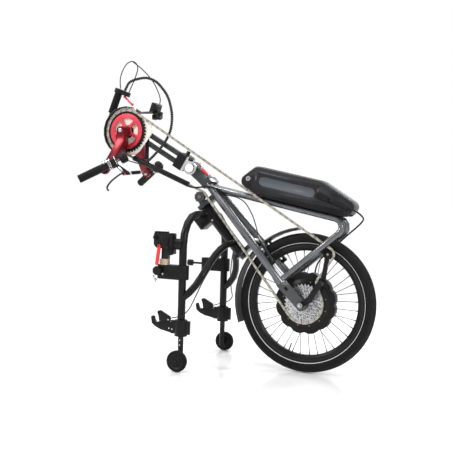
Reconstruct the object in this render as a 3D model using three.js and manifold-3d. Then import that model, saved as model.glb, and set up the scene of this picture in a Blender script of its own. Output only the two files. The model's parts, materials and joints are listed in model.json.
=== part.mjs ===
// Handcycle front unit that docks to a wheelchair: a power-assisted front wheel,
// a fork with a battery rail, a tilting boom with hand cranks, and a docking frame
// on two small wheels. Millimetres, +X is the riding direction, +Y the rider's left,
// +Z up. The floor is z = 0.
import * as THREE from 'three';
import { mergeVertices } from 'three/addons/utils/BufferGeometryUtils.js';
import Module from 'manifold-3d';

const wasm = await Module();
wasm.setup();

const degrees = Math.PI / 180;

// Clearances
const seatGap = 0.3;
const weldDistance = 0.01;
const runningGap = 0.5;
const cutOverrun = 3;

// Front wheel
const tyre = { diameter: 500, section: 47, bedDepth: 48, beadWidth: 26 };
const rim = { depth: 15, width: 30, flangeRise: 7, wellDepth: 7 };
const spoke = { count: 36, diameter: 2.6, flangeY: 16, rimY: 4 };
const motor = {
  diameter: 222, width: 37, lobes: 12, lobeDepth: 7, lobePower: 0.6, shellDiameter: 176,
  shellWidth: 64, boreDiameter: 17,
};
const axle = { diameter: 12, nutDiameter: 20, nutWidth: 9, shoulderDiameter: 16 };

// Chain drive: half-inch pitch, all sprockets and the chain lie in one plane
const chain = {
  pitch: 12.7, planeY: -39, plateHeight: 8.2, barLength: 4.6, slotWidth: 3.8,
  outerSlotWidth: 5, outerWidth: 7.6, plainLinks: 4,
};
const sprocket = { thickness: 2.2, toothHeight: 3, rootDepth: 4.4, rootShare: 0.5 };
const chainring = { teeth: 40, centreX: -726, centreZ: 860, innerDiameter: 118 };
const cassette = {
  teeth: [34, 28, 23, 18, 14], spacing: 5.2, sleeveDiameter: 38, boreDiameter: 25,
};
const idler = {
  teeth: 11, centreX: -410, centreZ: 617, discDiameter: 40, discGap: 1.2, discWidth: 3, pinDiameter: 9,
  hubDiameter: 15.8, bracketWidth: 20, bracketThickness: 8,
};
// The pulleys' places are counted from the wheel's centre
const pulley = {
  teeth: 11, tensionForward: 82, tensionRise: 180, guideForward: 66, guideRise: 78, boreDiameter: 7,
};
const chainTube = {
  diameter: 20, boreDiameter: 16, startGap: 62, endGap: 70, clipWidth: 14, clipThickness: 5,
};

// Steering head, fork and frame
const head = {
  topX: -400, topZ: 579, slope: 48.5 * degrees, tubeLength: 216, diameter: 44, boreDiameter: 31,
  blockWidth: 60, blockStart: 6.5, blockLength: 52, blockDepth: 62,
};
const steerer = {
  diameter: 28, overhang: 26, crownWidth: 58, crownLength: 15, crownBack: 20, lowerWidth: 22,
};
// The wheel sits a crown's gap below the lower crown, and forward of the head by the rake
const fork = {
  crownGap: 30.4545, rake: 81.5803, topForward: 68, bottomForward: 74, topAlong: -49,
  bottomAbove: 100.4545, topY: 24, bottomY: 74, diameter: 28, mitre: 6, dropoutThickness: 7,
  dropoutWidth: 38, dropoutNarrowShare: 0.6, dropoutEnd: 21, windowLength: 15, windowWidth: 11,
  windowPlace: 24,
};
const frameHead = {
  width: 47, barrelDiameter: 44, crownWidth: 74, crownLength: 26, backForward: 47, topForward: 88,
};
// The rails' corner is counted from the battery's front foot, their ends from the wheel's centre
const rail = {
  diameter: 23, topY: 22, startX: -368, startZ: 652, kneeX: -120, kneeZ: 600, cornerForward: 1.6,
  cornerDrop: 13.7, cornerY: 34, bowShare: 0.65, bowY: 56, cornerRadius: 32, endBack: 74,
  endRise: 84, endY: 70,
};
const battery = {
  caseLength: 428, height: 100, width: 94, slope: -11.5 * degrees, footX: -258, footZ: 642,
  cornerRadius: 11, bevel: 6, coreInset: 22, spineWidth: 66, spineProud: 3.2, spineBottom: 12,
  stripeDepth: 2.6, stripeLength: 214,
  stripeHeight: 33, lockDiameter: 17, lockProud: 3, lockDepth: 6, plugHeight: 26, plugDepth: 6, plugProud: 2,
};
const fender = {
  gap: 14, width: 58, thickness: 3, crown: 9, start: 98 * degrees, end: 200 * degrees,
  mountLength: 24, mountWidth: 22,
};
const brake = {
  // the boss and pad lie past the rim's edge, the arm's top before it
  bossPast: 29.55, bossDiameter: 15, bossLength: 16, armWidth: 15, armThickness: 9, armTopBefore: 64.45,
  armY: 46, padLength: 52, padHeight: 10, padDepth: 9, padPast: 9.55, padGap: 2.5, holderDiameter: 7,
};
const derailleur = {
  mountForward: 33, mountRise: 22, bodyWidth: 20, bodyThickness: 8, tabThickness: 3, cageThickness: 1.8,
  cageWidth: 15,
};

// Boom, crank housing and controls
const pivot = {
  x: -457, z: 723, discDiameter: 50, discWidth: 13, capDiameter: 36, capWidth: 5, neckHeight: 40,
};
const boom = {
  slope: 30 * degrees, diameter: 21, spacing: 31, start: 34, end: 252, blockStart: 27, blockEnd: 68,
  blockHeight: 58, blockWidth: 44, knobDiameter: 15, knobHeight: 15, knobAlong: 50,
};
const housing = {
  diameter: 52, width: 60, blockStart: 236, blockEnd: 292, blockHeight: 58, blockWidth: 40,
};
const guard = {
  radius: 95, thickness: 3, planeY: -32, lipWidth: 20, lipThickness: 3, lipStart: 74 * degrees,
  lipEnd: 238 * degrees, sheetStart: 52 * degrees, sheetEnd: 312 * degrees, tailX: -622,
  tailTopZ: 936, tailBottomZ: 808, holeDiameter: 56,
};
const guardRing = {
  diameter: 136, thickness: 4, windows: 5, windowInner: 26, windowOuter: 52, hubDiameter: 40,
  windowAngle: 46 * degrees, turnShare: 0.15,
};
const spindle = { diameter: 24, boreGap: 0.5, endWall: 12 };
const crank = {
  pinX: -743, pinZ: 707, pinY: 165, hubInnerY: 54, hubOuterY: 90, kneeZ: 806, kneeY: 78,
  width: 31, thickness: 13, endDiameter: 34, boltDiameter: 14, boltHeight: 3, drop: 16,
};
const grip = {
  pinDiameter: 13, innerX: 62, innerY: 35, innerZ: 38, outerX: -66, outerY: 36,
  outerZ: -39, barDiameter: 21, gripDiameter: 31, gripLength: 88, collarDiameter: 30,
  collarLength: 36, capDiameter: 42, capLength: 30, offsetY: 37,
};
const brakeLever = {
  bodyLength: 66, bodyWidth: 13, bladeWidth: 8, bladeThickness: 5, pivotX: 88, pivotY: 12,
  pivotZ: -14, tailRise: 7, rootGap: 1.3, armShare: 0.3, reach: 56, drop: 64, lean: 12,
};
const leverBladeShares = [
  // shares of the blade's reach back and of its drop
  [0, 0], [0.14, 0.03], [0.36, 0.17], [0.71, 0.43], [0.96, 0.71], [1, 0.87], [0.88, 1],
];
const topHandle = {
  baseX: -812, baseZ: 934, topX: -783, topZ: 1011, diameter: 29, y: -8, postDiameter: 18,
  postLength: 14, postBend: 13, clampDiameter: 38, clampHeight: 17, lugLength: 46, lugWidth: 20,
};
const thumbLever = { pivotAcross: 30, tipX: -722, tipZ: 966, width: 8, ballDiameter: 12 };
const display = {
  width: 62, height: 42, depth: 20, x: -626, z: 950, tilt: 18 * degrees, mountWidth: 26,
  mountX: -614, mountZ: 918, mountLength: 46, mountHeight: 30, y: 4,
};
const quickLever = { start: 28, leverLength: 30, width: 9, tipShare: 0.7, thickness: 12 };

// Docking frame on its two small wheels
const upright = {
  x: -401, y: 196, diameter: 28, boreDiameter: 21.2, boreTopZ: 330, bottomZ: 122,
  armZ: 552, armRadius: 108,
};
const brace = { diameter: 26, footZ: 255, topX: -283, topZ: 452, topY: 17 };
const bracePathShares = [
  // share of the way forward, of the way up and of the way out
  [0.0, 0.0, 1.0], [0.2, 0.1, 0.99], [0.42, 0.27, 0.93], [0.56, 0.48, 0.78], [0.7, 0.76, 0.5],
  [0.86, 0.94, 0.25], [1.0, 1.0, 0.0],
];
const hook = {
  collarDiameter: 46, collarBottomZ: 123, collarTopZ: 181, plateThickness: 14, backX: -518,
  bottomZ: 128, topZ: 187, wingX: -367, wingShare: 0.68,
};
const hookOutlineShares = [
  // share of the length from the back, share of the height from the bottom
  [0.0, 0.93], [0.03, 1.0], [0.09, 0.98], [0.12, 0.76], [0.165, 0.64], [0.235, 0.64], [0.28, 0.72],
  [0.7, 0.72], [0.7, 0.06], [0.56, 0.12], [0.34, 0.2], [0.14, 0.38], [0.03, 0.56],
];
const latch = { backX: -494, frontX: -443, topZ: 208, bottomZ: 169.4, thickness: 12, pinDiameter: 6 };
const latchOutlineShares = [
  [0.0, 0.84], [0.06, 0.96], [0.22, 1.0], [0.96, 0.5], [1.0, 0.06], [0.9, 0.04], [0.16, 0.04], [0.1, 0.5],
];
const clampBand = {
  bottomZ: 323, topZ: 373, collarDiameter: 46, endX: -480, endDiameter: 36, holeDiameter: 5,
};
const knob = { x: -487, z: 352, diameter: 34, width: 15, lobes: 8, lobeDepth: 1.6 };
const farKnob = { z: 349, rodDiameter: 8, rodLength: 40, diameter: 25, width: 20 };
const dock = {
  bodyBackX: -503, bodyFrontX: -430, bodyBottomZ: 432, bodyHeight: 54, width: 34, offsetY: 12,
  bossDiameter: 40, bossBottomZ: 409, strutBackX: -474, strutFrontX: -451, strutWidth: 22,
  padTopZ: 394, padBackX: -481, padFrontX: -451,
};
const dockLever = { pivotX: -479, pivotZ: 440, tipX: -487, tipZ: 377, width: 11, thickness: 6 };
const leg = {
  diameter: 20, topZ: 300, bottomRise: 24, holeDiameter: 5, holes: 5, holeSpacing: 17, firstHoleRise: 58,
};
const caster = { diameter: 76, width: 22, offsetY: 28, hubDiameter: 24, boreDiameter: 9, axleDiameter: 8 };
const casterProfileShares = [
  // shares of the radius and of half the width, from the hub's face round the tread
  [0.66, -0.5], [0.76, -0.9], [0.93, -0.9], [1, -0.35], [1, 0.35], [0.93, 0.9],
];

// Cables
const cable = { diameter: 4, leadDiameter: 6, sides: 6 };
const hose = { coreDiameter: 8, ribDiameter: 11.5, boreDiameter: 4, ribs: 28 };
// The room that each cable's route fills; the battery's lead is counted from the battery's
// front foot, from the rear stay and from the wheel's centre
const rooms = {
  thumb: {
    lowX: -778, highX: -706, lowY: -8, highY: 0, lowZ: 1013, highZ: 1134,
  },
  display: {
    lowX: -730, highX: -616, lowY: 0, highY: 26, lowZ: 970.2, highZ: 1134,
  },
  hose: {
    lowX: -757, highX: -549, lowY: -49, highY: 14, lowZ: 743.2, highZ: 1070,
  },
  grip: {
    lowX: -689.2, highX: -330, lowY: -171.6, highY: -36.4, lowZ: 644, highZ: 745,
  },
  lever: {
    lowX: -588.2, highX: -330, lowY: -176.8, highY: -37.2, lowZ: 642, highZ: 707,
  },
  plug: { back: 4.41, forward: 31.59, lowY: -51, highY: 22, fall: 11.67, rise: 34.33 },
  stay: { lowY: 33, highY: 82, drop: 24.3 },
  axle: { lowY: 97.4, highY: 117, rise: 88 },
  brake: { lowX: -330, lowY: -37.4, highY: -4, highZ: 630 },
  latch: {
    lowX: -442.6, highX: -295, lowY: -215, highY: -32.4, lowZ: 182, highZ: 435.4,
  },
};
// Each route's points, chosen by hand along its real course, in shares of its room
const thumbCableShares = [
  [0.0278, 0, 0.1339], [0, 0.125, 0.4545], [0.125, 0.5, 0.7273], [0.3611, 0.75, 0.9339],
  [0.6667, 1, 1], [0.9167, 1, 0.9091], [1, 0.875, 0.7521], [0.8889, 0.625, 0.4876],
  [0.5417, 0.25, 0],
];
const displayCableShares = [
  [0, 0, 1], [0.3333, 0.6154, 0.8046], [0.6667, 1, 0.5482], [0.8772, 1, 0.304],
  [0.9912, 0.8462, 0.1209], [1, 0.6923, 0],
];
const hoseRouteShares = [
  [0, 0.6825, 0.8501], [0.0769, 0.8095, 0.951], [0.25, 0.9365, 0.9939], [0.4183, 1, 1],
  [0.5913, 1, 0.9572], [0.726, 0.9683, 0.8807], [0.8365, 0.9048, 0.798], [0.9231, 0.8095, 0.694],
  [0.9952, 0.6508, 0.541], [1, 0.4603, 0.3727], [0.9183, 0.2063, 0.2197], [0.7548, 0.0159, 0.082],
  [0.6125, 0, 0],
];
const gripCableShares = [
  [0, 0, 0.9515], [0.034, 0.0525, 1], [0.0952, 0.1746, 0.9703], [0.1481, 0.3964, 0.901],
  [0.2149, 0.6479, 0.8218], [0.3207, 0.8107, 0.6436], [0.471, 0.8868, 0.4059],
  [0.6102, 0.8883, 0.1782], [0.7049, 0.8994, 0.0792], [0.794, 0.9364, 0.099],
  [0.8831, 0.9556, 0.1188], [0.9443, 0.9697, 0.0693], [1, 1, 0],
];
const leverCableShares = [
  [0, 0, 0.8938], [0.0589, 0.0344, 0.9385], [0.1015, 0.192, 0.9846], [0.1092, 0.4785, 1],
  [0.1363, 0.7507, 0.8769], [0.2641, 0.884, 0.6308], [0.4578, 0.8868, 0.2769],
  [0.5895, 0.8976, 0.1231], [0.7134, 0.9341, 0.1477], [0.8373, 0.9542, 0.1785],
  [0.9225, 0.9685, 0.1077], [1, 1, 0],
];
const leadPlugShares = [
  [0.0001, 0, 1], [0.4167, 0.0137, 0.8913], [0.8056, 0.1233, 0.6739], [1.0001, 0.3973, 0.4565],
  [1.0001, 0.726, 0.2609], [0.7501, 1, 0],
];
// shares of the way down the rear stay, of the way out and of the drop below it
const leadStayShares = [
  [0.0421, 0, 0.5581], [0.1767, 0.1122, 0.5515], [0.3491, 0.3265, 0.605], [0.4991, 0.551, 0.6402],
  [0.6069, 0.7347, 0.6117], [0.7127, 1, 0.9897],
];
const leadAxleShares = [
  [0, 0.0306, 1], [0, 0.7449, 0.5682], [0, 1, 0.25], [0, 0.6939, 0.0568], [0, 0, 0],
];
const brakeCableShares = [
  [0, 0.4012, 1], [0.1863, 0.4611, 0.9652], [0.3851, 0.521, 0.9244], [0.559, 0.7605, 0.8049],
  [0.7205, 0.8802, 0.5488], [0.8012, 1, 0.3293], [0.8571, 0.9401, 0.1585], [0.913, 0.521, 0.0732],
  [1, 0, 0],
];
const latchCableShares = [
  [1, 1, 1], [0.8171, 0.7393, 0.8129], [0.6545, 0.4655, 0.5525], [0.5596, 0.2136, 0.2999],
  [0.5122, 0.0383, 0.1579], [0.3835, 0, 0.0789], [0.2209, 0.0055, 0.0395], [0.0989, 0.0493, 0.0197],
  [0, 0.0931, 0],
];

// Facet counts
const facets = {
  wheel: 32, small: 16, tube: 10, thin: 8, bend: 4, corner: 2, tyre: 6, spoke: 3, brace: 9,
  fender: 14, lever: 12, rings: 5, boreSkip: 2, hoseTurns: 400,
};

// Materials
function paint(color, roughness, metalness) {
  return new THREE.MeshStandardMaterial({ color, roughness, metalness });
}
const finish = {
  anthracite: [0x4a4c4e, 0.35, 0.8],
  blackTube: [0x17181a, 0.4, 0.3],
  blackPlastic: [0x141414, 0.55, 0.0],
  blackRubber: [0x101010, 0.85, 0.0],
  blackMetal: [0x1c1d1f, 0.45, 0.6],
  silver: [0xc4c6c8, 0.3, 0.95],
  steel: [0xa9aaa6, 0.35, 0.95],
  cream: [0xe4ded4, 0.5, 0.0],
  red: [0xb3202c, 0.35, 0.7],
  brightRed: [0xe0262a, 0.4, 0.2],
  grey: [0x9a9c9e, 0.45, 0.4],
  batteryBlack: [0x1a1c1e, 0.5, 0.0],
};

// Geometry helpers
function signedVolume(geometry) {
  const position = geometry.attributes.position;
  const index = geometry.index;
  const a = new THREE.Vector3();
  const b = new THREE.Vector3();
  const c = new THREE.Vector3();
  let sum = 0;
  for (let i = 0; i < index.count; i += 3) {
    a.fromBufferAttribute(position, index.getX(i));
    b.fromBufferAttribute(position, index.getX(i + 1));
    c.fromBufferAttribute(position, index.getX(i + 2));
    sum += a.dot(b.cross(c));
  }
  return sum;
}

// Keeps position alone, joins equal vertices and turns the faces out
function closed(geometry) {
  const bare = geometry.clone();
  for (const name of Object.keys(bare.attributes)) {
    if (name !== 'position') bare.deleteAttribute(name);
  }
  const merged = mergeVertices(bare, weldDistance / 10);
  const index = merged.index.array;
  const kept = [];
  for (let i = 0; i < index.length; i += 3) {
    const [a, b, c] = [index[i], index[i + 1], index[i + 2]];
    if (a !== b && b !== c && c !== a) kept.push(a, b, c);
  }
  merged.setIndex(kept);
  if (signedVolume(merged) < 0) {
    for (let i = 0; i < kept.length; i += 3) {
      [kept[i + 1], kept[i + 2]] = [kept[i + 2], kept[i + 1]];
    }
    merged.setIndex(kept);
  }
  return merged;
}

function toSolid(geometry) {
  const shell = closed(geometry);
  return new wasm.Manifold(new wasm.Mesh({
    numProp: 3,
    vertProperties: new Float32Array(shell.attributes.position.array),
    triVerts: new Uint32Array(shell.index.array),
  }));
}

// Faces finer than the weld distance are taken out, so the file closes when it is welded
function fromSolid(solid) {
  const mesh = solid.asOriginal().simplify(weldDistance).getMesh();
  const geometry = new THREE.BufferGeometry();
  geometry.setAttribute('position', new THREE.BufferAttribute(new Float32Array(mesh.vertProperties), 3));
  geometry.setIndex(Array.from(mesh.triVerts));
  return geometry;
}

function join(...geometries) {
  return fromSolid(geometries.map(toSolid).reduce((sum, next) => sum.add(next)));
}

function cut(geometry, ...cutters) {
  return fromSolid(cutters.map(toSolid).reduce((rest, next) => rest.subtract(next), toSolid(geometry)));
}

function at(geometry, x, y, z) {
  return geometry.clone().translate(x, y, z);
}

function mirrored(geometry) {
  return closed(closed(geometry).scale(1, -1, 1));
}

function box(lowX, highX, lowY, highY, lowZ, highZ) {
  return new THREE.BoxGeometry(highX - lowX, highY - lowY, highZ - lowZ)
    .translate((lowX + highX) / 2, (lowY + highY) / 2, (lowZ + highZ) / 2);
}

// A round bar between two points
function rod(from, to, diameter, sides = facets.tube) {
  const start = new THREE.Vector3(...from);
  const end = new THREE.Vector3(...to);
  const axis = end.clone().sub(start);
  const geometry = new THREE.CylinderGeometry(diameter / 2, diameter / 2, axis.length(), sides);
  const up = new THREE.Vector3(0, 1, 0);
  geometry.applyQuaternion(new THREE.Quaternion().setFromUnitVectors(up, axis.normalize()));
  return geometry.translate(...start.add(end).multiplyScalar(1 / 2).toArray());
}

// The diameter of a faceted hole whose flats clear a round bar
function clearDiameter(diameter, clearance, sides) {
  return (diameter + 2 * clearance) / Math.cos(Math.PI / sides);
}

// A turned piece about the Y axis: points are radius and y, on the axis or closed
function turned(profile, segments = facets.small) {
  return new THREE.LatheGeometry(profile.map(([radius, y]) => new THREE.Vector2(radius, y)), segments);
}

function disc(diameter, lowY, highY, segments = facets.small) {
  return turned([[0, lowY], [diameter / 2, lowY], [diameter / 2, highY], [0, highY]], segments);
}

// A plate in the side plane: the outline is in x and z, its thickness runs along Y
function plate(shape, lowY, highY, curveSegments = facets.thin) {
  return new THREE.ExtrudeGeometry(shape, { depth: highY - lowY, bevelEnabled: false, curveSegments })
    .rotateX(Math.PI / 2)
    .translate(0, highY, 0);
}

function outline(points) {
  return new THREE.Shape(points.map(([x, z]) => new THREE.Vector2(x, z)));
}

// An outline with round corners, each at most a share of the sides that meet there
const cornerShare = 0.45;
function roundOutline(points, radius) {
  const shape = new THREE.Shape();
  points.forEach((point, i) => {
    const corner = new THREE.Vector2(...point);
    const before = new THREE.Vector2(...points[(i + points.length - 1) % points.length]);
    const after = new THREE.Vector2(...points[(i + 1) % points.length]);
    const back = before.clone().sub(corner);
    const ahead = after.clone().sub(corner);
    const reach = Math.min(radius, back.length() * cornerShare, ahead.length() * cornerShare);
    const enter = corner.clone().add(back.setLength(reach));
    const leave = corner.clone().add(ahead.setLength(reach));
    if (i === 0) shape.moveTo(enter.x, enter.y);
    else shape.lineTo(enter.x, enter.y);
    shape.quadraticCurveTo(corner.x, corner.y, leave.x, leave.y);
  });
  shape.closePath();
  return shape;
}

// Points on an arc, both ends included
function arcPoints(x, z, radius, start, end, steps) {
  return Array.from({ length: steps + 1 }, (_, i) => {
    const angle = start + (end - start) * i / steps;
    return [x + radius * Math.cos(angle), z + radius * Math.sin(angle)];
  });
}

// A slot or bar with two round ends, which may differ in radius
function capsule(startX, startZ, startRadius, endX, endZ, endRadius, steps = facets.bend) {
  const lean = Math.atan2(endZ - startZ, endX - startX);
  const quarter = Math.PI / 2;
  return outline([
    ...arcPoints(startX, startZ, startRadius, lean + quarter, lean + 3 * quarter, steps),
    ...arcPoints(endX, endZ, endRadius, lean - quarter, lean + quarter, steps),
  ]);
}

// Points of an outline from shares of its length and height
function fromShares(shares, lowX, highX, lowZ, highZ) {
  return shares.map(([x, z]) => [lowX + x * (highX - lowX), lowZ + z * (highZ - lowZ)]);
}

function roundSection(diameter, sides) {
  const shape = new THREE.Shape();
  for (let i = 0; i < sides; i += 1) {
    const angle = (i + 0.5) / sides * 2 * Math.PI;
    const [x, y] = [Math.cos(angle) * diameter / 2, Math.sin(angle) * diameter / 2];
    if (i === 0) shape.moveTo(x, y);
    else shape.lineTo(x, y);
  }
  shape.closePath();
  return shape;
}

// A bar of round section along a curve
function along(curve, diameter, steps, sides = facets.tube) {
  return new THREE.ExtrudeGeometry(roundSection(diameter, sides), { extrudePath: curve, steps });
}

function smooth(points, tension = 0.5) {
  return new THREE.CatmullRomCurve3(points.map((p) => new THREE.Vector3(...p)), false, 'catmullrom', tension);
}

// Straight runs joined by round bends, with steps only where the path bends
class BentPath extends THREE.Curve {
  constructor(corners, radius) {
    super();
    const points = corners.map((corner) => new THREE.Vector3(...corner));
    this.places = [];
    points.forEach((point, i) => {
      const before = points[Math.max(i - 1, 0)];
      const after = points[Math.min(i + 1, points.length - 1)];
      if (before === point || after === point) {
        this.places.push({ point, tangent: after.clone().sub(before).normalize() });
        return;
      }
      const into = point.clone().sub(before).normalize();
      const out = after.clone().sub(point).normalize();
      const turn = into.angleTo(out);
      const axis = into.clone().cross(out).normalize();
      const inward = axis.clone().cross(into);
      const centre = point.clone()
        .addScaledVector(into, -radius * Math.tan(turn / 2))
        .addScaledVector(inward, radius);
      for (let k = 0; k <= facets.bend; k += 1) {
        const angle = turn * k / facets.bend;
        const spoke = inward.clone().negate().applyAxisAngle(axis, angle);
        this.places.push({
          point: centre.clone().addScaledVector(spoke, radius),
          tangent: into.clone().applyAxisAngle(axis, angle),
        });
      }
    });
  }

  get steps() {
    return this.places.length - 1;
  }

  getPointAt(share) {
    return this.places[Math.round(share * this.steps)].point.clone();
  }

  getTangentAt(share) {
    return this.places[Math.round(share * this.steps)].tangent.clone();
  }
}

// A place on the steering head: along its axis from the top, and forward of it
const headAxis = { x: Math.cos(head.slope), z: -Math.sin(head.slope) };
const headForward = { x: Math.sin(head.slope), z: Math.cos(head.slope) };
function onHead(down, forward) {
  return [
    head.topX + headAxis.x * down + headForward.x * forward,
    head.topZ + headAxis.z * down + headForward.z * forward,
  ];
}

function headPoint(down, forward, y) {
  const [x, z] = onHead(down, forward);
  return [x, y, z];
}

// A block whose sides follow the steering head
function headBlock(lowDown, highDown, lowForward, highForward, halfWidth) {
  const corners = [
    onHead(lowDown, lowForward), onHead(highDown, lowForward),
    onHead(highDown, highForward), onHead(lowDown, highForward),
  ];
  return plate(outline(corners), -halfWidth, halfWidth);
}

// A place on the boom: along it from the pivot, and up across it
function onBoom(out, across) {
  return [
    pivot.x - Math.cos(boom.slope) * out + Math.sin(boom.slope) * across,
    pivot.z + Math.sin(boom.slope) * out + Math.cos(boom.slope) * across,
  ];
}

function boomPoint(out, across, y) {
  const [x, z] = onBoom(out, across);
  return [x, y, z];
}

function boomBlock(lowOut, highOut, lowAcross, highAcross, lowY, highY) {
  const corners = [
    onBoom(lowOut, lowAcross), onBoom(highOut, lowAcross),
    onBoom(highOut, highAcross), onBoom(lowOut, highAcross),
  ];
  return plate(outline(corners), lowY, highY);
}

// The wheel's centre, where the fork carries it, and the floor under the tyre
const wheelDown = head.tubeLength + steerer.crownLength + fork.crownGap + tyre.diameter / 2;
const [wheelX, wheelZ] = onHead(wheelDown, fork.rake);
const wheelCentre = { x: wheelX, z: wheelZ };
const floorZ = wheelZ - tyre.diameter / 2;
const rimBed = tyre.diameter / 2 - tyre.bedDepth;
const rimInner = rimBed - rim.depth;
const rimEdge = rimBed + rim.flangeRise;
const rimEdgeDown = wheelDown - rimEdge;
const bladeEndDown = wheelDown - fork.bottomAbove;
const tension = { x: wheelX + pulley.tensionForward, z: wheelZ + pulley.tensionRise };
const guide = { x: wheelX + pulley.guideForward, z: wheelZ + pulley.guideRise };
const derailleurMount = { x: wheelX + derailleur.mountForward, z: wheelZ + derailleur.mountRise };

// Chain route: five circles, turned clockwise or anticlockwise, and their tangents
const pitchRadius = (teeth) => teeth * chain.pitch / (2 * Math.PI);
const clockwise = -1;
const anticlockwise = 1;
const routeCircles = [
  { x: chainring.centreX, z: chainring.centreZ, radius: pitchRadius(chainring.teeth), sense: clockwise },
  { x: tension.x, z: tension.z, radius: pitchRadius(pulley.teeth), sense: clockwise },
  { x: guide.x, z: guide.z, radius: pitchRadius(pulley.teeth), sense: anticlockwise },
  { x: wheelCentre.x, z: wheelCentre.z, radius: pitchRadius(cassette.teeth[0]), sense: clockwise },
  { x: idler.centreX, z: idler.centreZ, radius: pitchRadius(idler.teeth), sense: anticlockwise },
];

function tangent(from, to) {
  const dx = to.x - from.x;
  const dz = to.z - from.z;
  const offset = to.sense * to.radius - from.sense * from.radius;
  const heading = Math.atan2(dz, dx) - Math.asin(offset / Math.hypot(dx, dz));
  const normal = [-Math.sin(heading), Math.cos(heading)];
  const leave = [
    from.x - from.sense * from.radius * normal[0], from.z - from.sense * from.radius * normal[1],
  ];
  const arrive = [
    to.x - to.sense * to.radius * normal[0], to.z - to.sense * to.radius * normal[1],
  ];
  return { leave, arrive, heading, length: Math.hypot(arrive[0] - leave[0], arrive[1] - leave[1]) };
}

const runs = routeCircles.map((circle, i) => tangent(circle, routeCircles[(i + 1) % routeCircles.length]));
const routeParts = [];
routeCircles.forEach((circle, i) => {
  const before = runs[(i + runs.length - 1) % runs.length];
  const arriveAngle = Math.atan2(before.arrive[1] - circle.z, before.arrive[0] - circle.x);
  const leaveAngle = Math.atan2(runs[i].leave[1] - circle.z, runs[i].leave[0] - circle.x);
  const turn = 2 * Math.PI;
  const sweep = (((leaveAngle - arriveAngle) * circle.sense) % turn + turn) % turn;
  routeParts.push({ circle, start: arriveAngle, sweep, length: sweep * circle.radius });
  routeParts.push({ run: runs[i], length: runs[i].length });
});
const routeLength = routeParts.reduce((sum, part) => sum + part.length, 0);

// The place on the chain's route at a distance from its start
function onRoute(distance) {
  let rest = ((distance % routeLength) + routeLength) % routeLength;
  for (const part of routeParts) {
    if (rest <= part.length || part === routeParts[routeParts.length - 1]) {
      if (part.run) {
        const share = rest / part.length;
        return {
          x: part.run.leave[0] + (part.run.arrive[0] - part.run.leave[0]) * share,
          z: part.run.leave[1] + (part.run.arrive[1] - part.run.leave[1]) * share,
        };
      }
      const angle = part.start + part.circle.sense * rest / part.circle.radius;
      return {
        circle: part.circle,
        angle,
        x: part.circle.x + part.circle.radius * Math.cos(angle),
        z: part.circle.z + part.circle.radius * Math.sin(angle),
      };
    }
    rest -= part.length;
  }
  return null;
}

// An even number of links, the pitch eased by less than a hundredth to close the loop
const linkCount = 2 * Math.round(routeLength / chain.pitch / 2);
const pins = Array.from({ length: linkCount }, (_, i) => onRoute(i * routeLength / linkCount));
function firstPinAngle(circle) {
  const pin = pins.find((place) => place.circle === circle);
  return pin ? pin.angle : 0;
}

// The chain is one loop of links, each a frame round a hole for a tooth; the holes of
// the outer links are wider. It is drawn in plan, along and across each link, and
// raised by the plates' height.
// The chain tube hides the slots of the links that lie wholly inside it
function inTube(i) {
  const run = runs[4];
  return [pins[i], pins[(i + 1) % pins.length]].every((pin) => {
    const along = Math.hypot(pin.x - run.leave[0], pin.z - run.leave[1]);
    const ahead = Math.hypot(pin.x - run.arrive[0], pin.z - run.arrive[1]);
    const onRun = along + ahead < run.length + seatGap;
    return onRun && along > chainTube.startGap + chain.pitch && ahead > chainTube.endGap + chain.pitch;
  });
}

function makeChain() {
  const top = [];
  const bottom = [];
  const faces = [];
  const half = chain.plateHeight / 2;
  const wall = chain.barLength / 2;
  const count = pins.length;
  const mark = (x, z, dx, dz, across) => {
    top.push([x - dz * half, chain.planeY + across, z + dx * half]);
    bottom.push([x + dz * half, chain.planeY + across, z - dx * half]);
    return top.length - 1;
  };
  const shown = pins.map((_, i) => i).filter((i) => !inTube(i));
  const links = shown.map((i) => {
    const from = pins[i];
    const to = pins[(i + 1) % count];
    const length = Math.hypot(to.x - from.x, to.z - from.z);
    const [dx, dz] = [(to.x - from.x) / length, (to.z - from.z) / length];
    const slot = (i % 2 === 0 ? chain.slotWidth : chain.outerSlotWidth) / 2;
    const hole = [wall, length - wall].map((down) => [-slot, slot].map(
      (across) => mark(from.x + dx * down, from.z + dz * down, dx, dz, across),
    ));
    return { from, dx, dz, start: hole[0], end: hole[1] };
  });
  const bends = (i) => pins[(i + count) % count].circle;
  const isStation = shown.map((i) => bends(i - 1) || bends(i) || bends(i + 1) || i % chain.plainLinks === 0);
  const edge = links.map((link, i) => {
    if (!isStation[i]) return null;
    const before = links[(i + links.length - 1) % links.length];
    const size = Math.hypot(link.dx + before.dx, link.dz + before.dz);
    return [-1, 1].map((side) => mark(
      link.from.x, link.from.z, (link.dx + before.dx) / size, (link.dz + before.dz) / size,
      side * chain.outerWidth / 2,
    ));
  });
  const face = (side, a, b, c) => faces.push(side === 1 ? [a, b, c] : [c, b, a]);
  const stations = [...isStation.keys()].filter((i) => isStation[i]);
  links.forEach((link, i) => {
    const before = links[(i + links.length - 1) % links.length];
    face(1, before.end[0], link.start[0], link.start[1]);
    face(1, before.end[0], link.start[1], before.end[1]);
    if (!isStation[i]) return;
    [0, 1].forEach((side) => face(side, before.end[side], link.start[side], edge[i][side]));
  });
  stations.forEach((from, k) => {
    const to = stations[(k + 1) % stations.length];
    const run = links.slice(from, to > from ? to : links.length);
    [0, 1].forEach((side) => {
      const inner = run.flatMap((link) => [link.start[side], link.end[side]]);
      const middle = Math.floor(inner.length / 2);
      inner.slice(1).forEach((point, n) => {
        face(side, inner[n], point, edge[n < middle ? from : to][side]);
      });
      face(side, inner[middle], edge[to][side], edge[from][side]);
    });
  });
  return raised(top, bottom, faces);
}

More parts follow.
